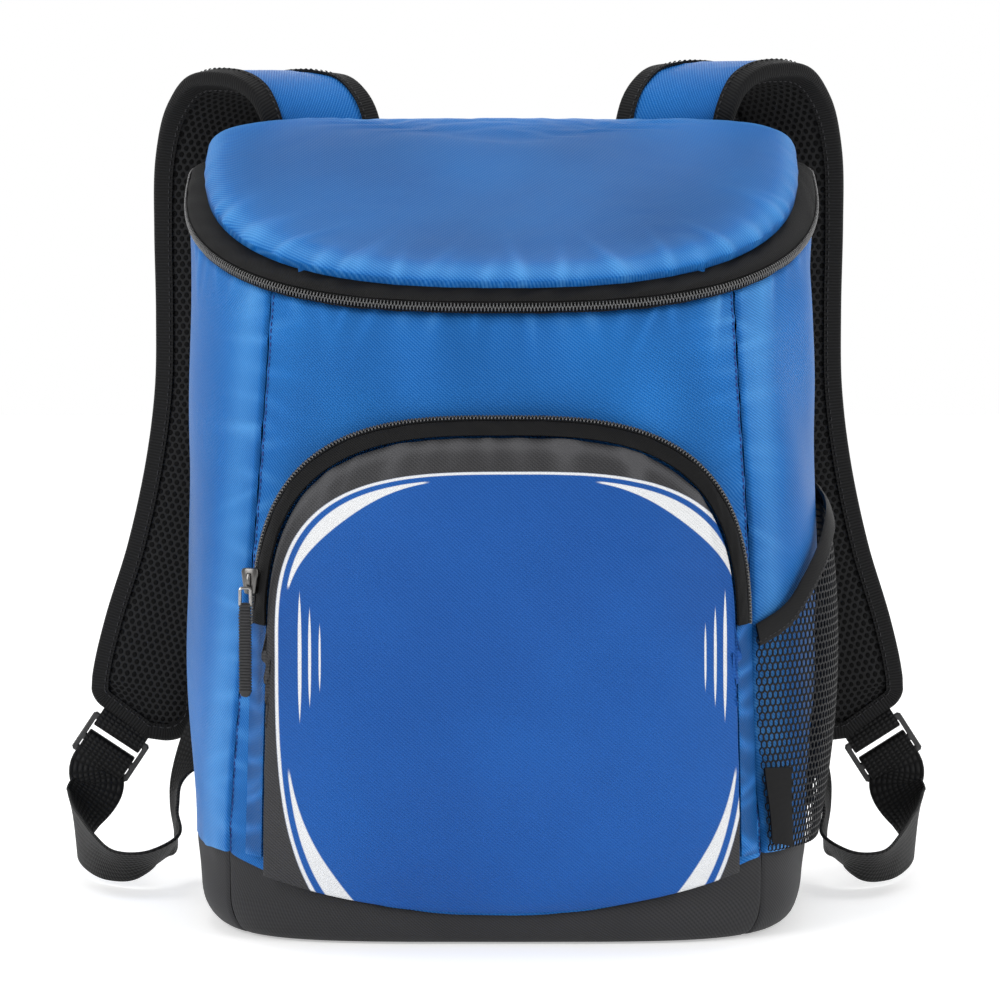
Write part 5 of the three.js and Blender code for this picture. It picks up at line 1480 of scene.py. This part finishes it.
def swept_piece(name, places, across, up, ring, around, smooth_angle):
    """A closed piece made by one ring of places carried along a line, with its two ends closed."""
    points = places[:, None] + across[:, None] * ring[None, :, :1] + up[:, None] * ring[None, :, 1:]
    index = np.arange(len(places) * len(ring)).reshape(len(places), len(ring))
    nxt = np.roll(index, -1, axis=1)
    faces = np.stack([index[:-1], nxt[:-1], nxt[1:], index[1:]], -1).reshape(-1, 4)
    caps = [index[0][::-1].tolist(), index[-1].tolist()]
    uvs = np.stack(np.broadcast_arrays(around[None], arc_length(places)[:, None]), -1)
    return new_piece(name, points, faces.tolist() + caps, uvs, smooth_angle)


def strap_binding(name, frames):
    places, inwards, up = strap_edge(frames)
    top_edge, thick, bend = strap_edge_thickness / 2 + seam_gap + binding_thickness, binding_thickness, 0.0022
    full = float(pad_half(binding_width)) + seam_gap + binding_thickness
    side = [(mix(binding_width, bend, share), mix(full, top_edge, share)) for share in np.linspace(0, 1, 5)]
    rounded = [(bend - bend * math.cos(angle), top_edge * math.sin(angle))
               for angle in np.linspace(math.pi / 2, -math.pi / 2, 7)[1:-1]]
    profile = side + rounded + [(x, -y) for x, y in side[::-1]]
    inner = [(max(x, thick), y - math.copysign(thick, y) if abs(y) > thick else 0.0) for x, y in profile[::-1]]
    ring = np.array(profile + inner)
    return swept_piece(name, places, inwards, up, ring, arc_length(ring), 60.0)


def mirror(piece):
    """The same piece on the other side."""
    piece.data.transform(Matrix.Scale(-1, 4, (1, 0, 0)))
    piece.data.flip_normals()
    return piece


webbing_width, webbing_thickness = 0.030, 0.0018


def webbing_piece(name, centres, widths):
    """A strip of webbing through places, each with the way that its width points."""
    along = unit(np.gradient(centres, axis=0))
    across = unit(widths - along * np.sum(widths * along, -1, keepdims=True))
    up = unit(np.cross(along, across))
    half, deep = webbing_width / 2, webbing_thickness / 2
    section = [(half * s, deep) for s in np.linspace(0.97, -0.97, 9)] + [(-half, 0.0)]
    section += [(half * s, -deep) for s in np.linspace(-0.97, 0.97, 9)] + [(half, 0.0)]
    ring = np.array(section)
    return swept_piece(name, centres, across, up, ring, ring[:, 0], 50.0)


def webbing_finish(name):
    """Woven polypropylene webbing: rows of small raised bumps along its length."""
    finish = Finish(name, Specular_IOR_Level=0.16)
    u, v = finish.uv()
    across, along = [(way * (math.tau / pitch)).sine() * 0.5 + 0.5 for way, pitch in ((u, 0.0030), (v, 0.0022))]
    bump = (across * along) ** 0.7
    grain = finish.noise(800.0)
    colour = finish.blend(bump * 0.8 + grain * 0.2, (0.0015, 0.0015, 0.0015, 1), (0.014, 0.014, 0.0145, 1))
    return finish.finish(colour, 0.5 + grain * 0.15, bump, 0.0005, 0.9)


webbing_cloth = webbing_finish("black_webbing")
plastic_finish = Finish("black_moulded_plastic", Specular_IOR_Level=0.55, Coat_Weight=0.15, Coat_Roughness=0.15)
plastic_grain = plastic_finish.noise(500.0, 3.0)
plastic_colour = plastic_finish.blend(plastic_grain, (0.004, 0.004, 0.0045, 1), (0.009, 0.009, 0.0095, 1))
plastic = plastic_finish.finish(plastic_colour, 0.26 + plastic_grain * 0.12, plastic_grain, 0.00005, 0.3)
lock_width, lock_length, lock_thickness, lock_bar, lock_rail, lock_slot = 0.037, 0.025, 0.0034, 0.0036, 0.003, 0.010
lock_offset, lock_across = 0.003, 0.011
wrap = lock_thickness / 2 + 2 * seam_gap + webbing_thickness / 2
wrap_beyond = wrap - lock_thickness / 2 + 4 * seam_gap
wrap_turns = [(math.cos(a), math.sin(a)) for a in np.linspace(math.pi / 2, -math.pi / 2, 9)]
webbing_stations = np.array([
    (-1.376, 0.91, 0.134, 0.8, -0.08, -0.58), (-1.418, 0.79, 0.099, 0.45, 0.1, -0.88),
    (-1.43, 0.45, 0.075, 0.1, 0.05, -0.99), (-1.392, 0.065, 0.062, 0.0, 0.3, -0.95),
    (-1.317, -0.32, 0.05, 0.0, 0.6, -0.8), (-1.225, -0.56, 0.046, 0.2, 0.75, -0.6),
    (-1.136, -0.6, 0.058, 0.1, 0.9, -0.35), (-1.07, -0.48, 0.08, -0.1, 0.95, -0.25),
    (-1.068, -0.29, 0.114, -0.1, 0.85, -0.5), (-1.072, -0.07, 0.157, -0.25, 0.85, -0.4),
    (-1.04, 0.07, 0.2, -0.55, 0.8, -0.1), (-0.96, 0.15, 0.26, -0.9, 0.35, 0.3),
    (-0.82, 0.09, 0.335, -0.82, 0.08, 0.57)])


def lock_frame(frames):
    """Where a ladder lock's top lies, and the ways across it, down it and forwards."""
    turn = Matrix.Rotation(strap_cut_slope, 3, Vector(frames["end_up"]))
    down, sideways = np.array(turn @ Vector(frames["end_along"])), np.array(turn @ Vector(frames["end_across"]))
    last = len(frames["centre"]) - 1
    top = strap_point(frames, last + 1.0, lock_across, 0.0, 0.0)
    return top, down, sideways, -frames["end_up"]


def lock_place(lock, along, forward):
    top, down, _, front = lock
    return top + down * along + front * forward


def ladder_lock(name, lock):
    """A moulded ladder lock: two slots between three bars, with softened edges."""
    top, down, sideways, front = lock
    half, rim = lock_width / 2, 0.0012
    x = np.array([-half, -half + rim, -half + lock_rail, 0.0, half - lock_rail, half - rim, half])
    y = np.array([0, rim, lock_bar, lock_bar + lock_slot, 2 * lock_bar + lock_slot, lock_length - lock_bar,
                  lock_length - rim, lock_length])
    bulge = [0.9, 0.9, 1.0, 1.0, 1.15, 1.0, 1.25, 1.1]
    index, points, faces = {}, [], []

    def corner(i, j, level):
        key = (i, j, level)
        if key not in index:
            inset = rim if i in (0, 6) and j in (0, 7) else 0.0
            px = x[i] + (inset if i == 0 else -inset) * 0.6
            py = y[j] + (inset if j == 0 else -inset) * 0.6
            index[key] = len(points)
            points.append(top + down * (lock_offset + py) - sideways * px
                          + front * level * lock_thickness / 2 * bulge[j])
        return index[key]

    solid = {(i, j) for i in range(6) for j in range(7) if not (i in (2, 3) and j in (2, 4))}
    for i, j in solid:
        faces.append([corner(i, j, 1), corner(i + 1, j, 1), corner(i + 1, j + 1, 1), corner(i, j + 1, 1)])
        faces.append([corner(i, j, -1), corner(i, j + 1, -1), corner(i + 1, j + 1, -1), corner(i + 1, j, -1)])
        for (di, dj), (a, b) in (((0, -1), ((i, j), (i + 1, j))), ((1, 0), ((i + 1, j), (i + 1, j + 1))),
                                 ((0, 1), ((i + 1, j + 1), (i, j + 1))), ((-1, 0), ((i, j + 1), (i, j)))):
            if (i + di, j + dj) not in solid:
                faces.append([corner(*a, 1), corner(*a, -1), corner(*b, -1), corner(*b, 1)])
    piece = new_piece(name, points, faces)
    shape = bmesh.new()
    shape.from_mesh(piece.data)
    bmesh.ops.recalc_face_normals(shape, faces=shape.faces)
    edges = [edge for edge in shape.edges if edge.calc_face_angle(0.0) > 0.6]
    bmesh.ops.bevel(shape, geom=edges, offset=0.0007, segments=3, profile=0.6, affect="EDGES")
    shape.to_mesh(piece.data)
    shape.free()
    piece.data.polygons.foreach_set("use_smooth", [True] * len(piece.data.polygons))
    piece.data.set_sharp_from_angle(angle=math.radians(40))
    return piece


def adjusting_strap(name, lock, spread):
    """Webbing round the lock's middle bar, through the loop and up to the back panel."""
    sideways = lock[2]
    edge = lock_offset + lock_bar + lock_slot
    wrapped = [(edge + lock_bar, -wrap)] + [(edge - wrap_beyond * c, -wrap * s) for c, s in wrap_turns]
    wrapped += [(lock_offset + lock_length * 0.82, wrap * 1.05), (lock_offset + lock_length + 0.002, wrap)]
    centres = [lock_place(lock, a, f) for a, f in wrapped]
    widths = [-sideways] * len(centres)
    across, back, up, x, out, top = webbing_stations.T
    loop = np.stack([half_body * (across - 5 * spread * np.maximum(np.abs(across) - 1, 0)),
                     back_face + strap_stand_off * back, front_height * up], -1)
    seat = plan_point(-turn_at_back(0.65), front_height * 0.41, seam_gap + webbing_thickness / 2)
    stations = np.concatenate([centres, loop, [seat]])
    widths = unit(np.concatenate([widths, np.stack([x, out, top], -1), [(-0.78, 0.0, 0.62)]]))
    first = len(centres) - 1
    places = np.concatenate([np.linspace(0, first, first * 4, endpoint=False),
                             np.linspace(first, len(stations) - 1, (len(stations) - 1 - first) * 16 + 1)])
    line = curve_through(stations, places)[0]
    ways = np.stack([np.interp(places, range(len(widths)), widths[:, k]) for k in range(3)], -1)
    for _ in range(12):
        ways[1:-1] = (ways[:-2] + 2 * ways[1:-1] + ways[2:]) / 4
    return webbing_piece(name, line, ways)


def strap_tab(name, lock):
    """The tab that holds the lock: a fold of webbing sewn into the strap's end."""
    edge = lock_offset + lock_bar
    path = [(lock_offset / 2 - 0.004, wrap * 0.5), (lock_offset + seam_gap, wrap)]
    path += [(edge + wrap_beyond * c, wrap * s) for c, s in wrap_turns]
    path += [(lock_offset + seam_gap, -wrap), (lock_offset / 2 - 0.004, -wrap * 0.5)]
    stations = np.array([lock_place(lock, a, f) for a, f in path])
    line = curve_through(stations, np.linspace(0, len(stations) - 1, 60))[0]
    return webbing_piece(name, line, np.broadcast_to(lock[2], line.shape))


for side_name, lift, spread, flip, seed in (("left", 0.0, 0.0, False, 113), ("right", 0.04, -0.018, True, 127)):
    frames = strap_frames(lift, spread)
    lock = lock_frame(frames)
    pad = strap_layer("strap_mesh_" + side_name, frames, lambda t: -t, lambda t: t - strap_cover - seam_gap,
                      seed, 0.0011)
    cover = strap_layer("strap_cloth_" + side_name, frames, lambda t: t - strap_cover, lambda t: t, seed + 30,
                        0.0007)
    binding = strap_binding("strap_tape_" + side_name, frames)
    places, inwards, up = strap_edge(frames)
    lift_off = float(pad_half(binding_width)) * 0.97 + seam_gap + binding_thickness
    lines = [(places + inwards * 0.0082 + up * sign * lift_off, up * sign) for sign in (-1, 1)]
    stitches = laid_along("strap_stitches_" + side_name, lines, stitch(0.0026, 0.0008, 0.0007), 0.0040,
                          black_thread, 0.1, seed)
    pieces = [(pad, spacer_mesh, "black_spacer_mesh", ["strap_pad_"]),
              (cover, blue_twill, "blue_twill", ["strap_cover_"]),
              (binding, grosgrain, "black_binding", ["strap_binding_"]),
              (stitches, black_thread, "black_binding", []),
              (ladder_lock("lock_" + side_name, lock), plastic, "black_moulded_plastic", ["ladder_lock_"]),
              (strap_tab("lock_tab_" + side_name, lock), webbing_cloth, "black_webbing", ["strap_tab_"]),
              (adjusting_strap("webbing_" + side_name, lock, spread), webbing_cloth, "black_webbing",
               ["adjusting_strap_"])]
    for piece, material, slot, nodes in pieces:
        if flip:
            mirror(piece)
        dress(piece, material, slot, *[node + side_name for node in nodes])
